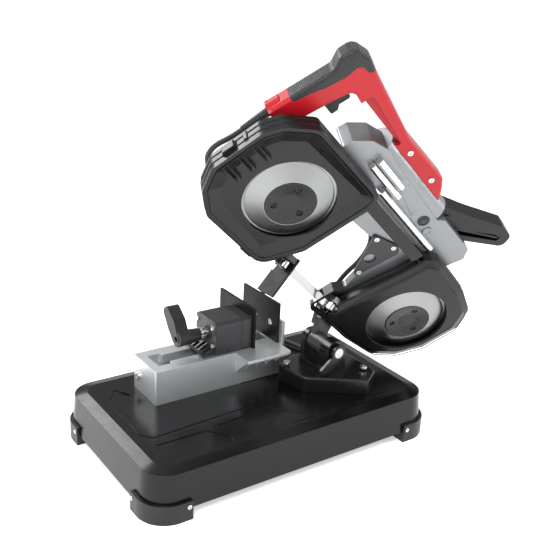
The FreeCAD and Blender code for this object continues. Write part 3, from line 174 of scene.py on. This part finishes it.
def plastic(name, colour, roughness, *, texture=1700, depth=0.00005, tint=0.07, shine=0.4):
    """Moulded plastic with the fine eroded texture of its mould."""
    material, tree, shader, add = shader_tools(name)
    vector = place_coordinates(add)
    finish_material(tree, shader, add, colour=colour, roughness=roughness, vector=vector, tint=tint,
                    bumps=[(grain(add, vector, texture, 2.0), 0.5, depth)], edge=0.0008, shine=shine)
    return material


def cast(name, colour, roughness, *, metallic=0.0, pits=420, depth=0.00012):
    """Cast surface: small soft grains under paint or bare."""
    material, tree, shader, add = shader_tools(name)
    vector = place_coordinates(add)
    finish_material(tree, shader, add, colour=colour, roughness=roughness, vector=vector, tint=0.08,
                    bumps=[(grain(add, vector, pits, 4.0), 0.5, depth)], edge=0.001)
    shader.inputs["Metallic"].default_value = metallic
    return material


def brushed(name, colour, roughness, *, place=None, stretch=60.0, scale=900.0):
    """Bare metal with fine lines along X of place, or with an even grain where stretch is 1."""
    material, tree, shader, add = shader_tools(name)
    vector = place_coordinates(add, place)
    squeeze = add("ShaderNodeMapping", {"Vector": vector, "Scale": (1 / stretch, 1, 1)}).outputs["Vector"]
    finish_material(tree, shader, add, colour=colour, roughness=roughness, vector=squeeze, tint=0.10,
                    tint_scale=scale * 0.4, smudge=0.3, smudge_scale=scale * 0.5,
                    bumps=[(grain(add, squeeze, scale, 4.0), 0.35, 0.00003)], edge=0.0004)
    shader.inputs["Metallic"].default_value = 1.0
    return material


def turned(name, colour, roughness, spacing):
    """Turned metal: fine rings round the nearer of two axles, and a sheen that follows them."""
    material, tree, shader, add = shader_tools(name)
    vector = place_coordinates(add, HEAD)
    parts = add("ShaderNodeSeparateXYZ", {"Vector": vector})
    second_wheel = math_node(add, "GREATER_THAN", parts.outputs["X"], spacing / 2)
    x = math_node(add, "SUBTRACT", parts.outputs["X"], math_node(add, "MULTIPLY", second_wheel, spacing))
    flat = add("ShaderNodeCombineXYZ", {"X": x, "Y": 0.0, "Z": parts.outputs["Z"]}).outputs["Vector"]
    radius = add("ShaderNodeVectorMath", {0: flat}, operation="LENGTH").outputs["Value"]
    rings = add("ShaderNodeCombineXYZ", {"X": radius, "Y": parts.outputs["Y"], "Z": 0.0}).outputs["Vector"]
    finish_material(tree, shader, add, colour=colour, roughness=roughness, vector=rings, tint=0.06,
                    tint_scale=700, smudge=0.12, smudge_scale=600,
                    bumps=[(grain(add, rings, 1500.0), 0.10, 0.00002)], edge=0.0004)
    axis = add("ShaderNodeCombineXYZ", dict(zip("XYZ", HEAD_SIDE))).outputs["Vector"]
    outward = add("ShaderNodeMapping", {"Vector": flat, "Rotation": HEAD.to_euler()},
                  vector_type="VECTOR").outputs["Vector"]
    around = add("ShaderNodeVectorMath", {0: axis, 1: outward}, operation="CROSS_PRODUCT").outputs["Vector"]
    world = add("ShaderNodeVectorTransform", {"Vector": around}, vector_type="VECTOR", convert_from="OBJECT",
                convert_to="WORLD").outputs["Vector"]
    unit = add("ShaderNodeVectorMath", {0: world}, operation="NORMALIZE").outputs["Vector"]
    tree.links.new(unit, shader.inputs["Tangent"])
    shader.inputs["Anisotropic"].default_value = 0.75
    shader.inputs["Metallic"].default_value = 1.0
    return material


def rubber(name, colour, roughness):
    """Soft matt rubber."""
    material, tree, shader, add = shader_tools(name)
    vector = place_coordinates(add)
    finish_material(tree, shader, add, colour=colour, roughness=roughness, vector=vector, tint=0.12,
                    bumps=[(grain(add, vector, 1300), 0.6, 0.00008)], edge=0.0006)
    shader.inputs["Sheen Weight"].default_value = 0.15
    return material


def ribbed_rubber(name, colour, roughness, rib_pitch, ribs_end):
    """Grip rubber: fine ribs across the rear half of the grip, up to ribs_end along the head."""
    material, tree, shader, add = shader_tools(name)
    vector = place_coordinates(add, HEAD)
    parts = add("ShaderNodeSeparateXYZ", {"Vector": vector})
    phase = math_node(add, "MULTIPLY", parts.outputs["Z"], 2 * math.pi / rib_pitch)
    wave = math_node(add, "SINE", phase)
    crest = add("ShaderNodeMapRange", {"Value": wave, "From Min": -0.2, "From Max": 0.6}).outputs["Result"]
    zone = math_node(add, "LESS_THAN", parts.outputs["X"], ribs_end)
    ribs = math_node(add, "MULTIPLY", crest, zone)
    finish_material(tree, shader, add, colour=colour, roughness=roughness, vector=vector, tint=0.12,
                    bumps=[(ribs, 1.0, 0.0006), (grain(add, vector, 1300), 0.5, 0.00006)], edge=0.0006)
    shader.inputs["Sheen Weight"].default_value = 0.15
    return material


BLACK = (0.006, 0.006, 0.0065)
DEEP_BLACK = (0.003, 0.003, 0.0035)
SOFT_BLACK = (0.004, 0.004, 0.0045)
MATERIALS = {
    "base_paint": painted("base_paint", DEEP_BLACK, 0.24, coat=0.05, peel=260, peel_depth=0.00005,
                          shine=0.28),
    "foot_plastic": plastic("foot_plastic", BLACK, 0.38, texture=1500, depth=0.0001),
    "zinc": brushed("zinc", (0.66, 0.66, 0.65), 0.26, stretch=1.0, scale=1500),
    "vise_grey": cast("vise_grey", (0.72, 0.74, 0.75), 0.34, metallic=0.8, pits=700, depth=0.00008),
    "jaw_grey": cast("jaw_grey", (0.022, 0.022, 0.025), 0.30, pits=650, depth=0.0001),
    "jaw_black": painted("jaw_black", DEEP_BLACK, 0.42, peel=800, peel_depth=0.00008, shine=0.2),
    "lever_plastic": plastic("lever_plastic", (0.014, 0.014, 0.015), 0.40, texture=1500, depth=0.0001),
    "cast_black": cast("cast_black", BLACK, 0.24, pits=300, depth=0.00008),
    "bright_steel": brushed("bright_steel", (0.70, 0.70, 0.70), 0.20, place=HEAD),
    "arm_grey": cast("arm_grey", (0.035, 0.035, 0.038), 0.34, pits=500),
    "frame_silver": cast("frame_silver", (0.27, 0.28, 0.29), 0.38, metallic=0.9, pits=800, depth=0.00007),
    "guard_plastic": plastic("guard_plastic", (0.006, 0.0062, 0.007), 0.30, texture=1900, depth=0.00007,
                             shine=0.38),
    "blade_steel": brushed("blade_steel", (0.50, 0.50, 0.49), 0.24, place=HEAD, scale=1200),
    "wheel_silver": turned("wheel_silver", (0.34, 0.35, 0.34), 0.36, WHEEL_SPACING * MM),
    "tyre_rubber": rubber("tyre_rubber", (0.01, 0.01, 0.01), 0.6),
    "hub_dark": plastic("hub_dark", (0.008, 0.0085, 0.0095), 0.26, texture=2600, depth=0.00001, tint=0.03),
    "channel_black": plastic("channel_black", BLACK, 0.16, texture=900, depth=0.00002),
    "red_plastic": plastic("red_plastic", (0.42, 0.006, 0.012), 0.30, depth=0.00006, tint=0.05),
    "grip_rubber": ribbed_rubber("grip_rubber", SOFT_BLACK, 0.42, rib_pitch=0.0024, ribs_end=-0.104),
    "black_plastic": plastic("black_plastic", SOFT_BLACK, 0.30, texture=1500, depth=0.00007),
    "cord_rubber": rubber("cord_rubber", (0.010, 0.010, 0.011), 0.46),
    "copper": brushed("copper", (0.62, 0.30, 0.16), 0.3),
}


for entry in frame["record"]["subparts"]:
    node = frame["nodes"][entry["node"]]
    node.data.materials.clear()
    node.data.materials.append(MATERIALS[entry["material_slot"]])


# ---- mesh helpers ---------------------------------------------------------------------
def add_piece(name, vertices, faces, slot, body, smooth=40.0):
    """A mesh from corner points in the row frame, with its finish, riding on a body."""
    mesh = bpy.data.meshes.new(name)
    mesh.from_pydata([tuple(v) for v in vertices], [], faces)
    mesh.validate()
    piece = bpy.data.objects.new(name, mesh)
    bpy.context.scene.collection.objects.link(piece)
    tidy = bmesh.new()
    tidy.from_mesh(mesh)
    bmesh.ops.recalc_face_normals(tidy, faces=tidy.faces)
    limit = math.radians(smooth)
    for edge in tidy.edges:
        edge.smooth = len(edge.link_faces) == 2 and edge.calc_face_angle(0) < limit
    for face in tidy.faces:
        face.smooth = True
    tidy.to_mesh(mesh)
    tidy.free()
    mesh.materials.append(MATERIALS[slot])
    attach(piece, body)
    return piece


def join_rings(rings, capped=True):
    """Vertices and faces of a skin over rings of equal length, closed at both ends if capped."""
    count = len(rings[0])
    vertices = [p for ring in rings for p in ring]
    faces = []
    for i in range(len(rings) - 1):
        for j in range(count):
            k = (j + 1) % count
            faces.append((i * count + j, i * count + k, (i + 1) * count + k, (i + 1) * count + j))
    if capped:
        faces.append(tuple(range(count)))
        faces.append(tuple(range((len(rings) - 1) * count, len(rings) * count)))
    return vertices, faces


def merge(parts):
    """One list of vertices and faces from several."""
    vertices = []
    faces = []
    for more_vertices, more_faces in parts:
        shift = len(vertices)
        vertices += more_vertices
        faces += [tuple(i + shift for i in face) for face in more_faces]
    return vertices, faces


def axis_frame(origin, axis):
    """Matrix whose Z runs along axis from origin."""
    return Matrix.Translation(origin) @ Vector(axis).to_track_quat("Z", "Y").to_matrix().to_4x4()


def circle(radius):
    """How far a circle reaches at each angle."""
    return lambda angle: radius


def hexagon(radius):
    """How far a hexagon with that radius at its corners reaches at each angle."""
    return lambda angle: radius * math.cos(math.pi / 6) / math.cos(angle % (math.pi / 3) - math.pi / 6)


def ring_round(place, reach, height, segments=48):
    """Row frame points round Z of place; reach is their distance from it at each angle, in millimetres."""
    points = []
    for i in range(segments):
        angle = 2 * math.pi * i / segments
        r = reach(angle)
        points.append(place @ (Vector((r * math.cos(angle), r * math.sin(angle), height)) * MM))
    return points


def lathe(profile, place, segments=48):
    """Turned shape; profile is a list of (radius, height) in millimetres."""
    return join_rings([ring_round(place, circle(radius), height, segments) for radius, height in profile])


# ---- screw heads ----------------------------------------------------------------------
HEAD_RIM = 0.4 * MM               # how far below a head's top a point still belongs to its outer face
TALLEST_HEAD = 4.0
SOCKET_SHARE = 0.5                # of the head's radius
SOCKET_DEPTH = 0.6                # of the head's height
SIDE_WALL = 0.93                  # share of a head's radius past which a point lies on its side
SIDES = ((1, 0, 0), (-1, 0, 0), (0, 1, 0), (0, -1, 0))
HEAD_DIRECTIONS = (-HEAD_SIDE, HEAD_SIDE, HEAD_ALONG, -HEAD_ALONG, HEAD_UP, -HEAD_UP)


def socket_head(place, radius, height):
    """Screw head with a rounded edge and a six-sided socket; Z of place points out of the head."""
    edge = min(0.5, height * 0.3)
    socket = radius * SOCKET_SHARE
    steps = [
        (circle(radius * 0.98), 0),
        (circle(radius), height - edge),
        (circle(radius - edge * 0.3), height - edge * 0.3),
        (circle(radius - edge), height),
        (hexagon(socket * 1.12), height),
        (hexagon(socket), height - 0.15),
        (hexagon(socket), height - height * SOCKET_DEPTH),
    ]
    return join_rings([ring_round(place, reach, z) for reach, z in steps])


def loose_solids(node):
    """Corner points of each separate solid of a CAD node."""
    tidy = bmesh.new()
    tidy.from_mesh(frame["nodes"][node].data)
    bmesh.ops.remove_doubles(tidy, verts=tidy.verts, dist=1e-6)
    solids = []
    seen = set()
    for start in tidy.verts:
        if start in seen:
            continue
        seen.add(start)
        queue = [start]
        found = []
        while queue:
            vertex = queue.pop()
            found.append(vertex.co.copy())
            for edge in vertex.link_edges:
                other = edge.other_vert(vertex)
                if other not in seen:
                    seen.add(other)
                    queue.append(other)
        solids.append(found)
    tidy.free()
    return solids


def head_of(corners, out):
    """Misfit of a solid to a screw head that faces out, and the head's radius, height, face and direction."""
    out = Vector(out).normalized()
    tops = [c.dot(out) for c in corners]
    top = max(tops)
    rim = [c for c, t in zip(corners, tops) if t > top - HEAD_RIM]
    middle = sum(rim, Vector()) / len(rim)
    reach = [((c - middle) - out * (c - middle).dot(out)).length for c in corners]
    radius = max(r for r, t in zip(reach, tops) if t > top - HEAD_RIM)
    wide = [t for r, t in zip(reach, tops) if r > SIDE_WALL * radius]
    misfit = round(abs(max(reach) - radius) / radius, 2)
    face = middle + out * (top - middle.dot(out))
    return misfit, radius / MM, (top - min(wide)) / MM, face, out


def screw_heads(node, outs, slot, body):
    """Detailed heads in place of a CAD node's screws; outs lists the directions that a head may face."""
    parts = []
    for corners in loose_solids(node):
        fits = [head_of(corners, out) for out in outs]
        _, radius, height, face, out = min(fits, key=lambda fit: (fit[0], -fit[1], fit[2]))
        height = min(height, TALLEST_HEAD)
        parts.append(socket_head(axis_frame(face - out * height * MM, out), radius, height))
    piece = add_piece(node + "_look", *merge(parts), slot, body)
    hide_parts(node)


screw_heads("idler_hub_screws", [-HEAD_SIDE], "hub_dark", "idler")
screw_heads("drive_hub_screws", [-HEAD_SIDE], "hub_dark", "drive")
screw_heads("block_screws", [(-1, 0, 0)], "zinc", "carriage")
screw_heads("foot_screws", SIDES, "zinc", "base")
screw_heads("vise_screws", [(-1, 0, 0)], "zinc", "base")
screw_heads("mitre_bolts", [(0, 0, 1)], "zinc", "turntable")
screw_heads("head_screws", HEAD_DIRECTIONS, "zinc", "head")


# ---- seams and small parts ------------------------------------------------------------
SEAM_LEVELS = (-2.0, 9.0)         # of the two ribs round each guard's wall
SEAM_SIZE = (1.6, 1.0)            # width and height
SEAM_OFFSET = 0.1                 # out from the wall
FACE_SEAM_SIZE = (1.3, 0.7)
FACE_SEAM_INSET = 7.5
GUARD_FACE = -13.0
BEAD_ANGLES = (200, 150, 110, 70, 30, -20)    # of the corners of a rib's section
PLATE_OUTLINE = [(108, 120), (108, 135), (160, 125), (161, 108)]
CAP_PLACE = (183, CASE_FACE, 118)
CAP_PROFILE = [(9.5, -0.2), (9.5, 0.8), (8.6, 1.4), (7.2, 1.4), (6.8, 0.4),
               (5.4, 0.4), (5.0, 1.7), (3.2, 2.0), (0.4, 2.0)]
SLEEVE_RADIUS = 4.6               # at the first rib
SLEEVE_TAPER = 1.5                # thicker at the last rib
SLEEVE_RIBS = 11
RIB_PITCH = 4.0
RIB_HEIGHT = 0.5


def rounded(points, radius, steps=6):
    """Closed outline with its corners rounded."""
    result = []
    count = len(points)
    for i in range(count):
        corner = Vector(points[i])
        before = Vector(points[i - 1]) - corner
        after = Vector(points[(i + 1) % count]) - corner
        half = before.angle(after) / 2
        reach = min(radius / math.tan(half), 0.49 * before.length, 0.49 * after.length)
        start = corner + before.normalized() * reach
        end = corner + after.normalized() * reach
        for k in range(steps + 1):
            t = k / steps
            result.append(start.lerp(corner, t).lerp(corner.lerp(end, t), t))
    return result


def outward(points):
    """Unit vector out of a closed outline at each of its points."""
    following = points[1:] + points[:1]
    area = sum(a.x * b.y - b.x * a.y for a, b in zip(points, following))
    side = 1 if area > 0 else -1
    result = []
    for before, after in zip(points[-1:] + points[:-1], following):
        along = (after - before).normalized()
        result.append(Vector((along.y, -along.x)) * side)
    return result


def grown(points, amount):
    """Closed outline moved outward by an amount."""
    return [point + out * amount for point, out in zip(points, outward(points))]


def bead(name, path, width, height):
    """Low half-round rib on the guards, along a closed path of points and normals in the head's frame."""
    rings = []
    for i, (point, normal) in enumerate(path):
        along = (path[(i + 1) % len(path)][0] - path[i - 1][0]).normalized()
        across = normal.cross(along).normalized()
        ring = []
        for a in map(math.radians, BEAD_ANGLES):
            corner = point + across * math.cos(a) * width / 2 + normal * math.sin(a) * height
            ring.append(HEAD @ (corner * MM))
        rings.append(ring)
    rings.append(rings[0])
    add_piece(name, *join_rings(rings, capped=False), "guard_plastic", "head")


def guard_seams():
    """Thin ribs that run round the guards' side walls and faces."""
    for name, outline in (("upper", UPPER_OUTLINE), ("lower", LOWER_OUTLINE)):
        edge = rounded(outline, GUARD_CORNER)
        wall = grown(edge, SEAM_OFFSET)
        for k, y in enumerate(SEAM_LEVELS):
            path = [(Vector((p.x, y, p.y)), Vector((out.x, 0, out.y))) for p, out in zip(wall, outward(wall))]
            bead(f"{name}_seam_{k}", path, *SEAM_SIZE)
        path = [(Vector((p.x, GUARD_FACE, p.y)), Vector((0, -1, 0))) for p in grown(edge, -FACE_SEAM_INSET)]
        bead(f"{name}_face_seam", path, *FACE_SEAM_SIZE)


def case_details():
    """Plain name plate and ringed cap on the gear case's face."""
    plate = rounded(PLATE_OUTLINE, 2)
    rings = []
    for inset, y in ((0.0, CASE_FACE + 0.2), (0.0, CASE_FACE - 0.5), (-0.4, CASE_FACE - 0.8)):
        rings.append([head_point(p.x, y, p.y) for p in grown(plate, inset)])
    add_piece("name_plate", *join_rings(rings), "frame_silver", "head")
    place = axis_frame(head_point(*CAP_PLACE), -HEAD_SIDE)
    add_piece("case_cap", *lathe(CAP_PROFILE, place), "jaw_grey", "head")


def strain_relief():
    """Tapered sleeve with ribs across it."""
    profile = [(4.0, 0)]
    for k in range(SLEEVE_RIBS):
        z = 1 + k * RIB_PITCH
        thick = SLEEVE_RADIUS + SLEEVE_TAPER * k / (SLEEVE_RIBS - 1)
        crest = thick + RIB_HEIGHT
        profile += [(thick, z), (crest, z + 0.4), (crest, z + 2.2), (thick, z + 2.6)]
    profile.append((6.3, 46))
    place = HEAD @ Matrix.Translation(Vector(SLEEVE_END) * MM)
    piece = add_piece("strain_relief_look", *lathe(profile, place, 36), "cord_rubber", "head", smooth=50)
    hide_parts("strain_relief")


guard_seams()
case_details()
strain_relief()

# ---- blade ----------------------------------------------------------------------------
TOOTH_PITCH = 1.8
TOOTH_DEPTH = 1.1
TOOTH_RAKE = 0.72                 # where the gullet lies between two tips
TOOTH_BAND = 2.2                  # the toothed edge, thinned towards its tips
TIP_THICKNESS = 0.8


def blade_stations():
    """Places round the blade's loop as (x, z, turn of its width), evenly spaced by about a tooth."""
    radius = BLADE_RADIUS + BLADE_THICKNESS / 2
    upright = 90 - TILT
    free_start, free_end = FREE_RUN
    stations = []

    def run(start, end):
        steps = round(abs(end[0] - start[0]) / TOOTH_PITCH)
        for i in range(steps):
            t = i / steps
            stations.append(tuple(a + (b - a) * t for a, b in zip(start, end)))

    def half_turn(centre, first):
        steps = round(math.pi * radius / TOOTH_PITCH)
        for i in range(steps):
            angle = math.radians(first) - math.pi * i / steps
            stations.append((centre + radius * math.cos(angle), radius * math.sin(angle), 0.0))

    run((0, radius, 0), (WHEEL_SPACING, radius, 0))
    half_turn(WHEEL_SPACING, 90)
    run((WHEEL_SPACING, -radius, 0), (free_end, FREE_Z, upright))
    run((free_end, FREE_Z, upright), (free_start, FREE_Z, upright))
    run((free_start, FREE_Z, upright), (0, -radius, 0))
    half_turn(0, -90)
    return stations


def blade_ring(middle, width, thick, edge):
    """Section of the blade at one place, with its toothed side ending at edge."""
    half_thick = BLADE_THICKNESS / 2
    back = BLADE_WIDTH / 2
    band = TOOTH_BAND - back
    corners = [(edge, -half_thick * TIP_THICKNESS), (band, -half_thick), (back, -half_thick),
               (back, half_thick), (band, half_thick), (edge, half_thick * TIP_THICKNESS)]
    return [HEAD @ ((middle + width * w + thick * t) * MM) for w, t in corners]


def build_blade():
    """Blade strip with raked teeth along its front edge."""
    stations = blade_stations()
    tip = -BLADE_WIDTH / 2
    rings = []
    for i, (x, z, turn) in enumerate(stations):
        before = stations[i - 1]
        after = stations[(i + 1) % len(stations)]
        along = Vector((after[0] - before[0], 0, after[1] - before[1])).normalized()
        c = math.cos(math.radians(turn))
        s = math.sin(math.radians(turn))
        width = Vector((0, c, s))
        thick = Vector((0, -s, c)) if turn else along.cross(Vector((0, 1, 0)))
        middle = Vector((x, BLADE_Y, z))
        following = Vector((after[0], BLADE_Y, after[1]))
        rings.append(blade_ring(middle, width, thick, tip))
        rings.append(blade_ring(middle.lerp(following, TOOTH_RAKE), width, thick, tip + TOOTH_DEPTH))
    rings.append(rings[0])
    piece = add_piece("blade_look", *join_rings(rings, capped=False), "blade_steel", "head", smooth=30)
    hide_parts("blade")


build_blade()

# ---- cords ----------------------------------------------------------------------------
UPPER_ROUTE = [
    head_point(*SLEEVE_END),
    head_point(-104, 45, -14),
    head_point(-107, 48, -40),
    head_point(-95, 52, -64),
    head_point(-64, 55, -74),
    head_point(-26, 55, -58),
    head_point(14, 54, -34),
    head_point(60, 53, -2),
    head_point(104, 51, 30),
    head_point(150, 50, 46),
    head_point(192, 49, 34),
    head_point(216, 48, -2),
    head_point(226, 48, -44),
    row(158, 30, 176),
    row(150, 32, 146),
    CLIP,
]
LOWER_ROUTE = [
    CLIP,
    row(150, 32, 105.5),
    row(150, 41.3, 89.5),
    row(149.5, 57.3, 80.6),
    row(148, 76, 80.6),
    row(138, 104, 80.6),
    row(128, 136, 80.6),
    row(125, 160, 66),
    row(124, 172, 38),
    row(124, 181, 18),
    row(124.2, 193, 8.6),
    row(124.8, 208, 5.0),
]
TAIL = [row(35.7, 241.3, 19.2), row(29.3, 229.6, 18.6), row(19.8, 221.6, 17.3), row(8.5, 217.8, 16.3),
        row(-6, 218, 15.9)]
# where the coil changes: angle round it in degrees, radius and height in millimetres
COIL_STEPS = [(0, 51.5, 4.6), (70, 46, 4.0), (360, 45, 4.0), (450, 38.5, 4.0), (660, 38, 4.0),
              (750, 38, 11.6), (960, 38, 11.6), (1050, 45, 11.6), (1260, 45, 11.6),
              (1350, 45, 19.2), (1585, 45, 19.2)]
COIL_START = 14.0
TURN_POINTS = 16


def coil_points():
    """Centreline of the spare cord's turns, with radius and height changing evenly between the steps."""
    points = []
    angle = COIL_START
    while angle < COIL_STEPS[-1][0]:
        for before, after in zip(COIL_STEPS, COIL_STEPS[1:]):
            if before[0] <= angle <= after[0]:
                share = (angle - before[0]) / (after[0] - before[0])
                radius = before[1] + (after[1] - before[1]) * share
                height = before[2] + (after[2] - before[2]) * share
        turn = math.radians(angle)
        points.append(COIL_CENTRE + Vector((radius * math.cos(turn), radius * math.sin(turn), height)) * MM)
        angle += 360 / TURN_POINTS
    return points


def spline_mesh(name, points, radius):
    """Tube mesh along a smooth spline, and the points of its centreline."""
    curve = bpy.data.curves.new(name, "CURVE")
    curve.dimensions = "3D"
    curve.resolution_u = 8
    spline = curve.splines.new("NURBS")
    spline.points.add(len(points) - 1)
    for target, point in zip(spline.points, points):
        target.co = (*point, 1)
    spline.order_u = 3
    spline.use_endpoint_u = True
    holder = bpy.data.objects.new(name + "_route", curve)
    bpy.context.scene.collection.objects.link(holder)
    bpy.context.view_layer.update()
    line = bpy.data.meshes.new_from_object(holder)
    path = [v.co.copy() for v in line.vertices]
    curve.bevel_depth = radius
    curve.bevel_resolution = 6
    curve.use_fill_caps = True
    bpy.context.view_layer.update()
    graph = bpy.context.evaluated_depsgraph_get()
    mesh = bpy.data.meshes.new_from_object(holder.evaluated_get(graph))
    mesh.name = name
    bpy.data.objects.remove(holder)
    for polygon in mesh.polygons:
        polygon.use_smooth = len(polygon.vertices) == 4
    piece = bpy.data.objects.new(name, mesh)
    bpy.context.scene.collection.objects.link(piece)
    mesh.materials.clear()
    mesh.materials.append(MATERIALS["cord_rubber"])
    return piece, path


def build_cords():
    """The cord from the handle to the clip, and from the clip to the coil and the plug on the floor."""
    upper, upper_path = spline_mesh("cord_run_upper", UPPER_ROUTE, CORD_RADIUS)
    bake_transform(upper)
    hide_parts("cord_upper")
    lower, lower_path = spline_mesh("cord_run_lower", LOWER_ROUTE + coil_points() + TAIL, CORD_RADIUS)
    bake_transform(lower)
    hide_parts("cord_lower", "cord_coil")


build_cords()

# ---- stage, light and camera ----------------------------------------------------------
FLOOR_REACH = 60.0
LIGHT_TARGET = (0.05, 0.0, 0.25)
# name, place, size, power
LIGHTS = (
    ("key", (-1.1, -0.9, 1.5), (0.9, 0.7), 30),
    ("side", (1.6, -1.0, 1.0), (0.6, 1.2), 16),
    ("back", (-0.5, 1.4, 1.3), (1.2, 0.6), 20),
)
EYE = (-0.6541, -0.9571, 0.6927)
EYE_ANGLES = (69.678, -2.790, -34.593)
SENSOR_WIDTH = 36
FOCAL_LENGTH = 54.86
SHIFT = (0.0023, -0.00125)


def stage_floor():
    """Wide pale floor that glows a little, so that it fades into the backdrop."""
    mesh = bpy.data.meshes.new("floor")
    corners = [(x * FLOOR_REACH, y * FLOOR_REACH, 0) for x, y in ((-1, -1), (1, -1), (1, 1), (-1, 1))]
    mesh.from_pydata(corners, [], [(0, 1, 2, 3)])
    floor = bpy.data.objects.new("floor", mesh)
    bpy.context.scene.collection.objects.link(floor)
    material, _, shader, _ = shader_tools("floor")
    shader.inputs["Base Color"].default_value = (0.93, 0.93, 0.93, 1)
    shader.inputs["Roughness"].default_value = 0.7
    shader.inputs["Emission Color"].default_value = (1, 1, 1, 1)
    shader.inputs["Emission Strength"].default_value = 0.5
    mesh.materials.append(material)


def area_light(name, place, size, power):
    """Soft rectangular light that faces the object."""
    data = bpy.data.lights.new(name, "AREA")
    data.shape = "RECTANGLE"
    data.size, data.size_y = size
    data.energy = power
    light = bpy.data.objects.new(name, data)
    bpy.context.scene.collection.objects.link(light)
    light.location = place
    light.rotation_euler = (Vector(LIGHT_TARGET) - Vector(place)).to_track_quat("-Z", "Y").to_euler()


def backdrop():
    """Sky that brightens upwards from a dim band, over a white glow at the horizon and below it."""
    world = bpy.data.worlds.new("studio")
    bpy.context.scene.world = world
    world.use_nodes = True
    tree = world.node_tree
    sky = tree.nodes["Background"]
    sky.inputs["Color"].default_value = (0.98, 0.99, 1.0, 1)
    place = tree.nodes.new("ShaderNodeTexCoord")
    parts = tree.nodes.new("ShaderNodeSeparateXYZ")
    tree.links.new(place.outputs["Generated"], parts.inputs["Vector"])
    brighter = tree.nodes.new("ShaderNodeMath")
    brighter.operation = "MAXIMUM"
    for i, spans in enumerate(((0.05, 0.95, 0.10, 0.80), (0.10, 0.16, 1.0, 0.0))):
        ramp = tree.nodes.new("ShaderNodeMapRange")
        for name, value in zip(("From Min", "From Max", "To Min", "To Max"), spans):
            ramp.inputs[name].default_value = value
        tree.links.new(parts.outputs["Z"], ramp.inputs["Value"])
        tree.links.new(ramp.outputs["Result"], brighter.inputs[i])
    tree.links.new(brighter.outputs[0], sky.inputs["Strength"])


def camera():
    """Camera off the base's corner with the lowest X and Y, a little higher than the saw's top."""
    data = bpy.data.cameras.new("camera")
    data.sensor_width = SENSOR_WIDTH
    data.lens = FOCAL_LENGTH
    data.shift_x, data.shift_y = SHIFT
    eye = bpy.data.objects.new("camera", data)
    bpy.context.scene.collection.objects.link(eye)
    eye.location = EYE
    eye.rotation_euler = [math.radians(a) for a in EYE_ANGLES]
    bpy.context.scene.camera = eye


stage_floor()
backdrop()
for light in LIGHTS:
    area_light(*light)
bpy.context.scene.view_settings.view_transform = "Standard"
camera()
